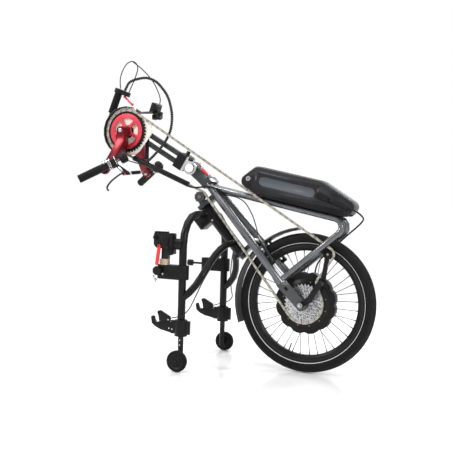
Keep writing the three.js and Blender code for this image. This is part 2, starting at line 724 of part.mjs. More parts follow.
// A closed solid from a plan of triangles: its top, its bottom and a wall on each free edge
function raised(top, bottom, faces) {
  const index = [];
  const count = top.length;
  const edges = new Set(faces.flatMap(([a, b, c]) => [`${a} ${b}`, `${b} ${c}`, `${c} ${a}`]));
  faces.forEach(([a, b, c]) => {
    index.push(a, b, c, count + c, count + b, count + a);
    [[a, b], [b, c], [c, a]].forEach(([from, to]) => {
      if (edges.has(`${to} ${from}`)) return;
      index.push(to, from, count + from, to, count + from, count + to);
    });
  });
  const geometry = new THREE.BufferGeometry();
  geometry.setAttribute('position', new THREE.Float32BufferAttribute([...top, ...bottom].flat(), 3));
  geometry.setIndex(index);
  return geometry;
}

// A toothed outline about the origin, a tooth gap at the given angle
function toothedShape(teeth, gapAngle, wideGap) {
  const radius = pitchRadius(teeth);
  const root = radius - sprocket.rootDepth;
  const tip = radius + sprocket.toothHeight;
  const points = [];
  for (let i = 0; i < teeth; i += 1) {
    const step = 2 * Math.PI / teeth;
    const gapCentre = gapAngle + i * step;
    const toothCentre = gapCentre + step / 2;
    const rootHalf = step * sprocket.rootShare / 2;
    if (wideGap) {
      points.push([root * Math.cos(gapCentre - rootHalf), root * Math.sin(gapCentre - rootHalf)]);
      points.push([root * Math.cos(gapCentre + rootHalf), root * Math.sin(gapCentre + rootHalf)]);
    } else {
      points.push([root * Math.cos(gapCentre), root * Math.sin(gapCentre)]);
    }
    points.push([tip * Math.cos(toothCentre), tip * Math.sin(toothCentre)]);
  }
  return outline(points);
}

function roundHole(diameter, x = 0, z = 0, steps = facets.tube) {
  return outline(arcPoints(x, z, diameter / 2, 0, 2 * Math.PI, steps).slice(1));
}

function toothedWheel(teeth, gapAngle, boreDiameter, lowY, highY, wideGap = false) {
  const shape = toothedShape(teeth, gapAngle, wideGap);
  shape.holes.push(roundHole(boreDiameter));
  return plate(shape, lowY, highY, facets.thin / 2);
}

// Wheel
function makeTyre() {
  const radius = tyre.section / 2;
  const middle = tyre.diameter / 2 - radius;
  const profile = [];
  const foot = Math.asin(tyre.beadWidth / tyre.section);
  for (let i = 0; i <= facets.tyre; i += 1) {
    const angle = -Math.PI + foot + (2 * Math.PI - 2 * foot) * i / facets.tyre;
    profile.push([middle + radius * Math.cos(angle), radius * Math.sin(angle)]);
  }
  profile.push([rimBed, tyre.beadWidth / 2]);
  profile.push([rimBed, -tyre.beadWidth / 2]);
  profile.push(profile[0]);
  return turned(profile, facets.wheel);
}

function makeRim() {
  const bed = rimBed - seatGap;
  const wall = tyre.beadWidth / 2 + seatGap;
  const half = rim.width / 2;
  const radius = tyre.section / 2;
  const middle = tyre.diameter / 2 - radius;
  const flangeInner = middle - Math.sqrt((radius + seatGap) ** 2 - half ** 2);
  const flange = Math.min(rimEdge, flangeInner - seatGap);
  return turned([
    [rimInner, -half / 2], [flange - rim.wellDepth, -half], [flange, -half],
    [bed, -wall], [bed, wall], [flange, half], [flange - rim.wellDepth, half],
    [rimInner, half / 2], [rimInner, -half / 2],
  ], facets.wheel);
}

function motorRadiusAt(angle) {
  const wave = Math.abs(Math.sin(angle * motor.lobes / 2));
  return motor.diameter / 2 - motor.lobeDepth * (1 - wave ** motor.lobePower);
}

function makeMotor() {
  const stepsPerLobe = 4;
  const count = motor.lobes * stepsPerLobe;
  const points = Array.from({ length: count }, (_, i) => {
    const angle = i / count * 2 * Math.PI;
    return [motorRadiusAt(angle) * Math.cos(angle), motorRadiusAt(angle) * Math.sin(angle)];
  });
  const lobed = plate(outline(points), -motor.width / 2, motor.width / 2);
  const half = motor.shellWidth / 2;
  const shell = turned([
    [0, -half], [motor.shellDiameter / 4, -half], [motor.shellDiameter / 2, -motor.width / 2 - seatGap],
    [motor.shellDiameter / 2, motor.width / 2], [motor.shellDiameter / 3, half], [0, half],
  ], facets.wheel / 2);
  return cut(join(lobed, shell), disc(motor.boreDiameter, -half - cutOverrun, half + cutOverrun));
}

function makeRimWithSpokes() {
  const spokes = [];
  for (let i = 0; i < spoke.count; i += 1) {
    const angle = (i + 0.5) / spoke.count * 2 * Math.PI;
    const side = i % 2 === 0 ? -1 : 1;
    const start = motorRadiusAt(angle) + 2 * seatGap;
    const end = rimInner + rim.wellDepth / 2;
    spokes.push(rod(
      [start * Math.cos(angle), side * spoke.flangeY, start * Math.sin(angle)],
      [end * Math.cos(angle), side * spoke.rimY, end * Math.sin(angle)],
      spoke.diameter, facets.spoke,
    ));
  }
  return join(makeRim(), ...spokes);
}

const dropoutY = fork.bottomY;
function makeAxle() {
  const inner = dropoutY - fork.dropoutThickness / 2 - seatGap;
  const outer = dropoutY + fork.dropoutThickness / 2 + derailleur.tabThickness + 2 * seatGap;
  const end = outer + axle.nutWidth;
  const nut = axle.nutDiameter / 2;
  const thin = axle.diameter / 2;
  const profile = [
    [0, -end - thin], [thin, -end - thin], [thin, -end], [nut, -end], [nut, -outer], [thin, -outer],
    [thin, -inner], [axle.shoulderDiameter / 2, -inner], [axle.shoulderDiameter / 2, inner],
    [thin, inner], [thin, outer], [nut, outer], [nut, end], [thin, end], [thin, end + thin],
    [0, end + thin],
  ];
  return turned(profile, facets.thin);
}

function makeCassette() {
  const circle = routeCircles[3];
  const half = sprocket.thickness / 2;
  const cogs = cassette.teeth.map((teeth, i) => plate(
    toothedShape(teeth, i === 0 ? firstPinAngle(circle) : 0, i === 0),
    chain.planeY - i * cassette.spacing - half, chain.planeY - i * cassette.spacing + half,
  ));
  const last = chain.planeY - (cassette.teeth.length - 1) * cassette.spacing - half;
  const sleeve = disc(cassette.sleeveDiameter, last, chain.planeY + half, facets.tube);
  const bore = disc(cassette.boreDiameter, last - cutOverrun, chain.planeY + cutOverrun, facets.tube);
  return cut(join(sleeve, ...cogs), bore);
}

// Pulley with two side discs that guide the chain
function makeIdler() {
  const circle = routeCircles[4];
  const half = sprocket.thickness / 2;
  const inner = chain.outerWidth / 2 + idler.discGap;
  const outer = inner + idler.discWidth;
  const bore = clearDiameter(idler.pinDiameter, runningGap, facets.tube);
  const wheel = toothedWheel(idler.teeth, firstPinAngle(circle), bore, -half, half, true);
  const hub = turned([
    [bore / 2, -inner], [idler.hubDiameter / 2, -inner], [idler.hubDiameter / 2, inner],
    [bore / 2, inner], [bore / 2, -inner],
  ], facets.tube);
  const discs = [-1, 1].map((side) => turned([
    [bore / 2, side * inner], [idler.discDiameter / 2, side * inner],
    [idler.discDiameter / 2, side * outer], [bore / 2, side * outer], [bore / 2, side * inner],
  ], facets.tube));
  return at(join(wheel, hub, ...discs), idler.centreX, chain.planeY, idler.centreZ);
}

function makePulley(x, z, circle) {
  const half = sprocket.thickness / 2;
  const wide = chain.slotWidth / 2;
  const wheel = toothedWheel(pulley.teeth, firstPinAngle(circle), pulley.boreDiameter, -half, half, true);
  const hub = turned([
    [pulley.boreDiameter / 2, -wide], [pulley.boreDiameter, -wide], [pulley.boreDiameter, wide],
    [pulley.boreDiameter / 2, wide], [pulley.boreDiameter / 2, -wide],
  ], facets.thin);
  return at(join(wheel, hub), x, chain.planeY, z);
}

// Two cage plates with the pulleys' pins
function makeCage() {
  const low = chain.outerWidth / 2 + seatGap * 2;
  const high = low + derailleur.cageThickness;
  const half = derailleur.cageWidth / 2;
  const shape = capsule(guide.x, guide.z, half, tension.x, tension.z, half);
  const side = (lowY, highY) => at(plate(shape, lowY, highY), 0, chain.planeY, 0);
  const pinDiameter = pulley.boreDiameter - 2 * runningGap;
  const pin = (x, z) => rod(
    [x, chain.planeY - high, z], [x, chain.planeY + high, z], pinDiameter, facets.thin,
  );
  return join(
    side(low, high), side(-high, -low),
    pin(tension.x, tension.z), pin(guide.x, guide.z),
  );
}

function makeDerailleur() {
  const tabOuter = -(dropoutY + fork.dropoutThickness / 2 + seatGap + derailleur.tabThickness);
  const tabInner = tabOuter + derailleur.tabThickness;
  const cageOuter = chain.planeY - chain.outerWidth / 2 - 2 * seatGap - derailleur.cageThickness - seatGap;
  const half = derailleur.bodyWidth / 2;
  const tab = capsule(wheelCentre.x, wheelCentre.z, half, derailleurMount.x, derailleurMount.z, half);
  tab.holes.push(roundHole(
    clearDiameter(axle.diameter, seatGap, facets.tube), wheelCentre.x, wheelCentre.z,
  ));
  const link = capsule(derailleurMount.x, derailleurMount.z, half, guide.x, guide.z, half);
  const barrel = at(
    disc(derailleur.bodyWidth, tabOuter, cageOuter, facets.tube), guide.x, 0, guide.z,
  );
  const body = plate(link, tabOuter - derailleur.bodyThickness, tabOuter);
  return join(plate(tab, tabOuter, tabInner), body, barrel);
}

// Fork and frame
const forkSpread = (down) => fork.topY
  + (fork.bottomY - fork.topY) * (down - fork.topAlong) / (bladeEndDown - fork.topAlong);
const forkForward = (down) => fork.topForward
  + (fork.bottomForward - fork.topForward) * (down - fork.topAlong) / (bladeEndDown - fork.topAlong);
const bladeTop = headPoint(fork.topAlong - fork.mitre, fork.topForward, -fork.topY);
const bladeBottom = headPoint(bladeEndDown, fork.bottomForward, -fork.bottomY);

// Dropout plate from the blade's end to the axle, on the rider's right
function dropoutShape(extra) {
  const [bladeX, bladeZ] = [bladeBottom[0], bladeBottom[2]];
  const dx = wheelCentre.x - bladeX;
  const dz = wheelCentre.z - bladeZ;
  const length = Math.hypot(dx, dz);
  const half = fork.dropoutWidth / 2 + extra;
  const end = length + fork.dropoutEnd + extra;
  const start = -fork.dropoutWidth - extra;
  const turn = Math.atan2(dz, dx);
  const place = (u, v) => [
    bladeX + u * Math.cos(turn) - v * Math.sin(turn), bladeZ + u * Math.sin(turn) + v * Math.cos(turn),
  ];
  const chamfer = fork.dropoutEnd / 2;
  const narrow = half * fork.dropoutNarrowShare;
  return {
    place,
    length,
    points: [
      place(start, -narrow), place(0, -half), place(end - chamfer, -half), place(end, -half + chamfer),
      place(end, half - chamfer), place(end - chamfer, half), place(0, half), place(start, narrow),
    ],
  };
}

function makeBlade() {
  const drop = dropoutShape(0);
  const half = fork.dropoutThickness / 2;
  const dropout = plate(outline(drop.points), -dropoutY - half, -dropoutY + half);
  const halfLong = fork.windowLength / 2;
  const halfWide = fork.windowWidth / 2;
  const windowAt = fork.windowPlace;
  const window = plate(outline([
    drop.place(windowAt - halfLong, -halfWide), drop.place(windowAt + halfLong, -halfWide),
    drop.place(windowAt + halfLong, halfWide), drop.place(windowAt - halfLong, halfWide),
  ]), -dropoutY - half - cutOverrun, -dropoutY + half + cutOverrun);
  const axleHole = at(
    disc(axle.diameter + 2 * seatGap, -dropoutY - half - cutOverrun, -dropoutY + half + cutOverrun),
    wheelCentre.x, 0, wheelCentre.z,
  );
  const tube = rod(bladeTop, bladeBottom, fork.diameter, facets.tube + 2);
  return cut(join(tube, dropout), window, axleHole, frameHeadSolid(seatGap));
}

// The rear stay runs from the rail's corner to its end at the dropout
function stayEnds() {
  const [footX, footZ] = batteryPlace(battery.caseLength, 0);
  return {
    cornerX: footX + rail.cornerForward, cornerZ: footZ - rail.cornerDrop,
    endX: wheelX - rail.endBack, endZ: wheelZ + rail.endRise,
  };
}

function makeRail() {
  const { cornerX, cornerZ, endX, endZ } = stayEnds();
  const path = new BentPath([
    [rail.startX, -rail.topY, rail.startZ], [rail.kneeX, -rail.topY, rail.kneeZ],
    [cornerX, -rail.cornerY, cornerZ],
    [endX + rail.bowShare * (cornerX - endX), -rail.bowY, endZ + rail.bowShare * (cornerZ - endZ)],
    [endX, -rail.endY, endZ],
  ], rail.cornerRadius);
  const bladeRoom = rod(bladeTop, bladeBottom, fork.diameter + 2 * seatGap, facets.tube + 2);
  const half = fork.dropoutThickness / 2 + seatGap;
  const dropoutRoom = plate(outline(dropoutShape(seatGap).points), -dropoutY - half, -dropoutY + half);
  const headRoom = frameHeadSolid(seatGap);
  return cut(along(path, rail.diameter, path.steps, facets.thin), bladeRoom, dropoutRoom, headRoom);
}

// The welded head of the frame, from the boom's pivot down to the fork blades
const barrelShares = [[0.9, 0.45], [0.3, 0.9], [-0.6, -0.7]];
function frameHeadSolid(extra) {
  const low = fork.topAlong - seatGap + extra;
  const wide = frameHead.width / 2 + extra;
  const barrel = frameHead.barrelDiameter / 2 + extra;
  const points = [
    onHead(low, frameHead.backForward - extra), onHead(low, frameHead.topForward + extra),
    ...barrelShares.map(([x, z]) => [pivot.x + barrel * x, pivot.z + barrel * z]),
  ];
  const web = plate(outline(points), -wide, wide);
  const crown = headBlock(
    low - frameHead.crownLength, low, frameHead.backForward - extra, frameHead.topForward + extra,
    frameHead.crownWidth / 2 + extra,
  );
  const eye = at(disc(frameHead.barrelDiameter + 2 * extra, -wide, wide), pivot.x, 0, pivot.z);
  return join(web, crown, eye);
}

function makeFrameHead() {
  const bolt = at(
    disc(axle.diameter + 2 * runningGap, -frameHead.width, frameHead.width, facets.tube),
    pivot.x, 0, pivot.z,
  );
  return cut(frameHeadSolid(0), bolt);
}

// Steering shaft with an upper and a lower crown that carry the fork
function makeSteerer() {
  const low = -steerer.overhang;
  const high = head.tubeLength + steerer.overhang;
  const shaft = rod(headPoint(low, 0, 0), headPoint(high, 0, 0), steerer.diameter, facets.tube + 2);
  const upperReach = forkForward(-steerer.crownLength) - fork.diameter / 2 - seatGap;
  const upper = headBlock(
    -seatGap - steerer.crownLength, -seatGap, -steerer.crownBack, upperReach, steerer.crownWidth / 2,
  );
  const lowerStart = head.tubeLength + seatGap;
  const lowerEnd = lowerStart + steerer.crownLength;
  const lower = headBlock(
    lowerStart, lowerEnd, -steerer.crownBack, forkForward(lowerEnd), steerer.crownWidth / 2,
  );
  const bridgeHalf = forkSpread(lowerStart) - fork.diameter / 2 - seatGap * 3;
  const bridge = headBlock(
    lowerStart, lowerEnd, forkForward(lowerEnd) - steerer.lowerWidth / 2,
    forkForward(lowerEnd) + steerer.lowerWidth / 2, bridgeHalf,
  );
  const idlerReach = chain.outerWidth / 2 + idler.discGap + idler.discWidth;
  const bracketOuter = chain.planeY + idlerReach + seatGap;
  const idlerPin = rod(
    [idler.centreX, chain.planeY - idlerReach, idler.centreZ],
    [idler.centreX, bracketOuter + idler.bracketThickness, idler.centreZ], idler.pinDiameter,
  );
  const bracket = plate(
    capsule(
      idler.centreX, idler.centreZ, idler.bracketWidth / 2,
      ...onHead(-steerer.crownLength / 2, 0), idler.bracketWidth / 2,
    ),
    bracketOuter, bracketOuter + idler.bracketThickness,
  );
  return join(shaft, upper, lower, bridge, idlerPin, bracket);
}

// Steering head tube with the block that takes the docking frame's arms
function makeHeadTube() {
  const tube = rod(headPoint(0, 0, 0), headPoint(head.tubeLength, 0, 0), head.diameter, facets.tube + 4);
  const block = headBlock(
    head.blockStart, head.blockStart + head.blockLength, -head.blockDepth, 0, head.blockWidth / 2,
  );
  const bore = rod(
    headPoint(-cutOverrun, 0, 0), headPoint(head.tubeLength + cutOverrun, 0, 0),
    head.boreDiameter, facets.tube + 4,
  );
  return cut(join(tube, block, makeBrace(), mirrored(makeBrace())), bore);
}

// Battery and its fittings, laid along the rails
function batteryPlace(u, v) {
  return [
    battery.footX + Math.cos(battery.slope) * u - Math.sin(battery.slope) * v,
    battery.footZ + Math.sin(battery.slope) * u + Math.cos(battery.slope) * v,
  ];
}

const batteryOutlineShares = [
  [0.172, 0], [0.012, 0.26], [0, 0.485], [0.11, 1], [0.686, 1], [0.975, 0.536], [1, 0.38], [0.963, 0],
];
const stripeShares = { start: 0.16, middle: 0.55 };
const lockShares = { x: 0.068, z: 0.53 };
const plugShares = { startX: 0.7, startZ: 0.53, endX: 0.955, endZ: 0.3, narrowEnd: 0.3 };

function batteryOutline(inset) {
  const points = batteryOutlineShares.map(([u, v]) => {
    const x = inset + u * (battery.caseLength - 2 * inset);
    const z = v * (battery.height - inset);
    return batteryPlace(x, z);
  });
  return roundOutline(points, battery.cornerRadius);
}

function stripeSolid() {
  const half = battery.stripeHeight / 2;
  const start = stripeShares.start * battery.caseLength + half;
  const middle = stripeShares.middle * battery.height;
  const shape = capsule(
    ...batteryPlace(start, middle), half,
    ...batteryPlace(start + battery.stripeLength - 2 * half, middle), half,
  );
  const outer = battery.width / 2;
  return plate(shape, -outer - cutOverrun, -outer + battery.stripeDepth);
}

function makeBatteryCase() {
  const inner = battery.spineWidth / 2 + seatGap / 2;
  const outer = battery.width / 2;
  const shell = plate(batteryOutline(battery.bevel), -outer, -inner, facets.corner);
  const body = plate(batteryOutline(0), -outer + battery.bevel, -inner, facets.corner);
  const half = join(shell, body);
  const right = cut(half, stripeSolid());
  const left = mirrored(right);
  const bridge = plate(
    batteryOutline(battery.coreInset), -inner - cutOverrun, inner + cutOverrun, facets.corner,
  );
  return join(right, left, bridge, lockSolid(), plugSolid());
}

function makeBatterySpine() {
  const inner = battery.spineWidth / 2 - seatGap / 2;
  const ring = plate(batteryOutline(-battery.spineProud), -inner, inner, facets.corner);
  const room = plate(
    batteryOutline(battery.coreInset - seatGap), -inner - cutOverrun, inner + cutOverrun, facets.corner,
  );
  const below = plate(outline([
    batteryPlace(-battery.caseLength, -battery.height),
    batteryPlace(2 * battery.caseLength, -battery.height),
    batteryPlace(2 * battery.caseLength, battery.spineBottom),
    batteryPlace(-battery.caseLength, battery.spineBottom),
  ]), -battery.width, battery.width);
  return cut(ring, room, below);
}

function lockSolid() {
  const [x, z] = batteryPlace(lockShares.x * battery.caseLength, lockShares.z * battery.height);
  const outer = battery.width / 2;
  return at(
    disc(battery.lockDiameter, -outer - battery.lockProud, -outer + battery.lockDepth, facets.tube),
    x, 0, z,
  );
}

function plugSolid() {
  const shape = capsule(
    ...batteryPlace(plugShares.startX * battery.caseLength, plugShares.startZ * battery.height),
    battery.plugHeight / 2,
    ...batteryPlace(plugShares.endX * battery.caseLength, plugShares.endZ * battery.height),
    battery.plugHeight * plugShares.narrowEnd,
  );
  const outer = battery.width / 2;
  return plate(shape, -outer - battery.plugProud, -outer + battery.plugDepth);
}

// Curved mudguard round the back and top of the tyre, with its block under the lower crown
function makeFender() {
  const half = fender.width / 2;
  const section = new THREE.Shape();
  const bands = facets.bend - 1;
  for (let i = 0; i <= bands; i += 1) {
    const share = -1 + 2 * i / bands;
    const rise = fender.crown * (1 - share * share);
    if (i === 0) section.moveTo(share * half, rise);
    else section.lineTo(share * half, rise);
  }
  for (let i = bands; i >= 0; i -= 1) {
    const share = -1 + 2 * i / bands;
    const rise = fender.crown * (1 - share * share) - fender.thickness;
    section.lineTo(share * (half - fender.thickness / 2), rise);
  }
  section.closePath();
  const radius = tyre.diameter / 2 + fender.gap;
  const arc = smooth(
    arcPoints(wheelX, wheelZ, radius, fender.start, fender.end, facets.fender).map(([x, z]) => [x, 0, z]),
  );
  const guardSkin = new THREE.ExtrudeGeometry(section, { extrudePath: arc, steps: facets.fender });
  const bracket = headBlock(
    head.tubeLength + steerer.crownLength + 2 * seatGap,
    wheelDown - radius - fender.crown + fender.thickness,
    fork.rake - fender.mountLength, fork.rake, fender.mountWidth / 2,
  );
  return join(guardSkin, bracket);
}

// The brake cable ends at the arm's top
const bossFace = forkForward(rimEdgeDown + brake.bossPast) + fork.diameter / 2 + seatGap;
const armMiddle = bossFace + brake.bossLength - brake.armThickness / 2;
const [armTopX, armTopZ] = onHead(rimEdgeDown - brake.armTopBefore, armMiddle);

// One arm of the rim brake with its pad, on the rider's right
function makeBrakeArm() {
  const bossAlong = rimEdgeDown + brake.bossPast;
  const bossY = forkSpread(bossAlong);
  const high = bossFace + brake.bossLength;
  const low = high - brake.armThickness;
  const boss = rod(
    headPoint(bossAlong, bossFace, -bossY), headPoint(bossAlong, high, -bossY),
    brake.bossDiameter, facets.tube,
  );
  const armShape = new THREE.Shape();
  const [armStart, armEnd] = [brake.armTopBefore - rimEdgeDown, -bossAlong];
  armShape.moveTo(-bossY - brake.armWidth / 2, armEnd);
  armShape.lineTo(-bossY + brake.armWidth / 2, armEnd);
  armShape.lineTo(-brake.armY + brake.armWidth / 2, armStart);
  armShape.lineTo(-brake.armY - brake.armWidth / 4, armStart);
  armShape.closePath();
  const arm = new THREE.ExtrudeGeometry(armShape, { depth: high - low, bevelEnabled: false });
  const padInner = rim.width / 2 + brake.padGap;
  const padOuter = padInner + brake.padDepth;
  const padAlong = rimEdgeDown + brake.padPast;
  const middle = onHead(padAlong, high);
  const rimAngle = Math.atan2(middle[1] - wheelCentre.z, middle[0] - wheelCentre.x);
  const rimRadius = rimEdge - rim.wellDepth / 2;
  const [padX, padZ] = [
    wheelCentre.x + rimRadius * Math.cos(rimAngle), wheelCentre.z + rimRadius * Math.sin(rimAngle),
  ];
  const pad = box(
    -brake.padLength / 2, brake.padLength / 2, padInner, padOuter, -brake.padHeight / 2, brake.padHeight / 2,
  )
    .rotateY(-(rimAngle + Math.PI / 2))
    .translate(padX, 0, padZ);
  // The arm is drawn in the fork's plane: across Y and down the head, thick along forward
  const basis = new THREE.Matrix4().makeBasis(
    new THREE.Vector3(0, 1, 0),
    new THREE.Vector3(-headAxis.x, 0, -headAxis.z),
    new THREE.Vector3(-headForward.x, 0, -headForward.z),
  );
  const [originX, originZ] = onHead(0, high);
  arm.applyMatrix4(basis).translate(originX, 0, originZ);
  const holder = rod(
    [padX, -padInner - brake.padDepth / 2, padZ], headPoint(padAlong, (low + high) / 2, -bossY),
    brake.holderDiameter, facets.thin,
  );
  return join(boss, arm, mirrored(pad), holder);
}

// Boom with its clamp at the pivot
function makeBoomClamp() {
  const inner = frameHead.width / 2 + runningGap;
  const outer = inner + pivot.discWidth;
  const halfHeight = boom.blockHeight / 2;
  const cheeks = [-1, 1].map((side) => {
    const [low, high] = side > 0 ? [inner, outer] : [-outer, -inner];
    const round = at(disc(pivot.discDiameter, low, high), pivot.x, 0, pivot.z);
    const neck = boomBlock(0, boom.blockEnd, -pivot.neckHeight / 2, pivot.neckHeight / 2, low, high);
    const cap = at(
      disc(pivot.capDiameter, side > 0 ? high : low - pivot.capWidth, side > 0 ? high + pivot.capWidth : low),
      pivot.x, 0, pivot.z,
    );
    return join(round, neck, cap);
  });
  const block = boomBlock(boom.blockStart, boom.blockEnd, -halfHeight, halfHeight, -outer, outer);
  const pin = at(disc(axle.diameter, -outer, outer, facets.tube), pivot.x, 0, pivot.z);
  const bores = [-1, 1].map((side) => rod(
    boomPoint(boom.start - seatGap, side * boom.spacing / 2, 0),
    boomPoint(boom.blockEnd + cutOverrun, side * boom.spacing / 2, 0),
    boom.diameter + 2 * seatGap, facets.tube + 2,
  ));
  return cut(join(...cheeks, block, pin, makeBoomKnob()), ...bores);
}

function makeBoomKnob() {
  const top = boom.blockHeight / 2;
  return rod(
    boomPoint(boom.knobAlong, 0, 0), boomPoint(boom.knobAlong, top + boom.knobHeight, 0), boom.knobDiameter,
  );
}

// The boom's two tubes, welded into the crank's bearing housing
function makeBoom() {
  const half = housing.width / 2;
  const barrel = at(disc(housing.diameter, -half, half), chainring.centreX, 0, chainring.centreZ);
  const halfHeight = housing.blockHeight / 2;
  const block = boomBlock(
    housing.blockStart, housing.blockEnd, -halfHeight, halfHeight,
    -housing.blockWidth / 2, housing.blockWidth / 2,
  );
  const tubes = [-1, 1].map((side) => rod(
    boomPoint(boom.start, side * boom.spacing / 2, 0), boomPoint(boom.end, side * boom.spacing / 2, 0),
    boom.diameter, facets.tube + 2,
  ));
  const bore = at(
    disc(spindle.diameter + 2 * spindle.boreGap, -half - cutOverrun, half + cutOverrun),
    chainring.centreX, 0, chainring.centreZ,
  );
  const postPath = new BentPath([
    handlePoint(-seatGap), handlePoint(-topHandle.postLength),
    [chainring.centreX - housing.diameter / 4, topHandle.y, chainring.centreZ + housing.diameter / 4],
  ], topHandle.postBend);
  const post = along(postPath, topHandle.postDiameter, postPath.steps);
  return cut(join(barrel, block, post, ...tubes), bore);
}

// Guard plate behind the chainring with a rim round its rear
function makeGuard() {
  const [x, z] = [chainring.centreX, chainring.centreZ];
  const shape = outline([
    ...arcPoints(x, z, guard.radius, guard.sheetStart, guard.sheetEnd, facets.small),
    [guard.tailX, guard.tailBottomZ], [guard.tailX, guard.tailTopZ],
  ]);
  shape.holes.push(roundHole(guard.holeDiameter, x, z, facets.small));
  const sheet = plate(shape, guard.planeY - guard.thickness, guard.planeY);
  const lip = outline([
    ...arcPoints(x, z, guard.radius, guard.lipStart, guard.lipEnd, facets.tube),
    ...arcPoints(x, z, guard.radius - guard.lipThickness, guard.lipEnd, guard.lipStart, facets.tube),
  ]);
  return join(sheet, plate(lip, guard.planeY - guard.lipWidth, guard.planeY));
}

function makeChainring() {
  const circle = routeCircles[0];
  const half = sprocket.thickness / 2;
  const shape = toothedShape(chainring.teeth, firstPinAngle(circle), true);
  shape.holes.push(roundHole(chainring.innerDiameter, 0, 0, facets.small));
  return at(plate(shape, -half, half), chainring.centreX, chain.planeY, chainring.centreZ);
}

const chainringOuterY = -(chain.planeY - sprocket.thickness / 2 - seatGap);
// Guard ring with five windows, outside the chainring
function makeGuardRing() {
  const shape = roundHole(guardRing.diameter, 0, 0, facets.small + facets.thin);
  for (let i = 0; i < guardRing.windows; i += 1) {
    const middle = (i + guardRing.turnShare) / guardRing.windows * 2 * Math.PI;
    const half = guardRing.windowAngle / 2;
    shape.holes.push(outline([
      ...arcPoints(0, 0, guardRing.windowOuter, middle - half, middle + half, facets.bend),
      ...arcPoints(0, 0, guardRing.windowInner, middle + half, middle - half, 1),
    ]));
  }
  return at(
    plate(shape, -chainringOuterY - guardRing.thickness, -chainringOuterY),
    chainring.centreX, 0, chainring.centreZ,
  );
}

// A crank arm: deep hub, knee and flared lower arm with its pin eye, on the rider's right
function makeCrank() {
  const [x, z] = [chainring.centreX, chainring.centreZ];
  const half = crank.width / 2;
  const hubShape = new THREE.Shape();
  hubShape.absarc(x, z, half, 0, Math.PI, false);
  hubShape.lineTo(x - half, crank.kneeZ);
  hubShape.lineTo(x + half, crank.kneeZ);
  hubShape.closePath();
  const hub = plate(hubShape, -crank.hubOuterY, -crank.hubInnerY, facets.thin);
  const legShape = outline([
    [-crank.hubInnerY, crank.kneeZ + crank.drop], [-crank.hubOuterY, crank.kneeZ + crank.drop],
    [-crank.pinY - crank.thickness / 2, crank.pinZ + crank.thickness / 2],
    [-crank.pinY - crank.thickness / 2, crank.pinZ - crank.thickness / 2],
    [-crank.pinY + crank.thickness / 2, crank.pinZ - crank.thickness / 2],
    [-crank.hubInnerY, crank.kneeZ - crank.drop],
  ]);
  const slope = (x - crank.pinX) / (crank.kneeZ - crank.pinZ);
  const legSolid = new THREE.ExtrudeGeometry(legShape, { depth: crank.width, bevelEnabled: false })
    .applyMatrix4(new THREE.Matrix4().makeBasis(
      new THREE.Vector3(0, 1, 0), new THREE.Vector3(0, 0, 1), new THREE.Vector3(1, 0, 0),
    ))
    .translate(x - half, 0, 0);
  const shear = new THREE.Matrix4().set(
    1, 0, slope, -slope * crank.kneeZ, 0, 1, 0, 0, 0, 0, 1, 0, 0, 0, 0, 1,
  );
  legSolid.applyMatrix4(shear);
  const eye = at(
    disc(crank.endDiameter, -crank.pinY - crank.thickness / 2, -crank.pinY + crank.thickness / 2),
    crank.pinX, 0, crank.pinZ,
  );
  const bolt = at(
    disc(crank.boltDiameter, -crank.hubOuterY - crank.boltHeight, -crank.hubOuterY, facets.tube), x, 0, z,
  );
  const eyeHole = at(
    disc(
      grip.pinDiameter + 2 * runningGap, -crank.pinY - crank.thickness, -crank.pinY + crank.thickness,
      facets.tube,
    ),
    crank.pinX, 0, crank.pinZ,
  );
  return cut(join(hub, legSolid, eye, bolt), eyeHole);
}

// The right arm carries the spider that the chainring is bolted to
function makeRightCrank() {
  const spiderHub = at(
    disc(guardRing.hubDiameter, -crank.hubInnerY - cutOverrun, -chainringOuterY),
    chainring.centreX, 0, chainring.centreZ,
  );
  const bore = at(
    disc(spindle.diameter + 2 * seatGap, -crank.hubOuterY + spindle.endWall, crank.hubInnerY),
    chainring.centreX, 0, chainring.centreZ,
  );
  return cut(join(makeCrank(), makeGuardRing(), spiderHub), bore);
}

// The spindle is one piece with the left arm and ends inside the right one
function makeLeftCrank() {
  const arm = mirrored(makeCrank());
  const shaft = at(
    disc(spindle.diameter, -crank.hubOuterY + spindle.endWall + seatGap, crank.hubInnerY + cutOverrun),
    chainring.centreX, 0, chainring.centreZ,
  );
  return join(arm, shaft);
}

// Grip, collar and cap on a slanted bar that turns on the crank's pin
const gripCentreY = crank.pinY + grip.offsetY;
const gripStart = [grip.outerX, -grip.outerY, grip.outerZ];
const gripEnd = [grip.innerX, grip.innerY, grip.innerZ];
const gripSpan = Math.hypot(...gripEnd.map((value, i) => value - gripStart[i]));
function gripPoint(distance) {
  const [x, y, z] = gripStart.map((value, i) => value + (gripEnd[i] - value) * distance / gripSpan);
  return [crank.pinX + x, -gripCentreY + y, crank.pinZ + z];
}

function makeHandle() {
  const collarEnd = grip.gripLength + grip.collarLength;
  const rubber = rod(gripPoint(0), gripPoint(grip.gripLength), grip.gripDiameter);
  const collar = rod(gripPoint(grip.gripLength), gripPoint(collarEnd), grip.collarDiameter);
  const cap = rod(gripPoint(collarEnd), gripPoint(collarEnd + grip.capLength), grip.capDiameter);
  const core = rod(
    gripPoint(grip.gripLength / 2), gripPoint(collarEnd + grip.capLength / 2), grip.barDiameter,
  );
  const pin = rod(
    [crank.pinX, -crank.pinY + crank.thickness / 2, crank.pinZ], [crank.pinX, -gripCentreY, crank.pinZ],
    grip.pinDiameter,
  );
  const bush = rod(
    [crank.pinX, -crank.pinY - crank.thickness / 2 - runningGap, crank.pinZ],
    [crank.pinX, -gripCentreY, crank.pinZ], grip.barDiameter,
  );
  return join(rubber, collar, cap, core, pin, bush);
}

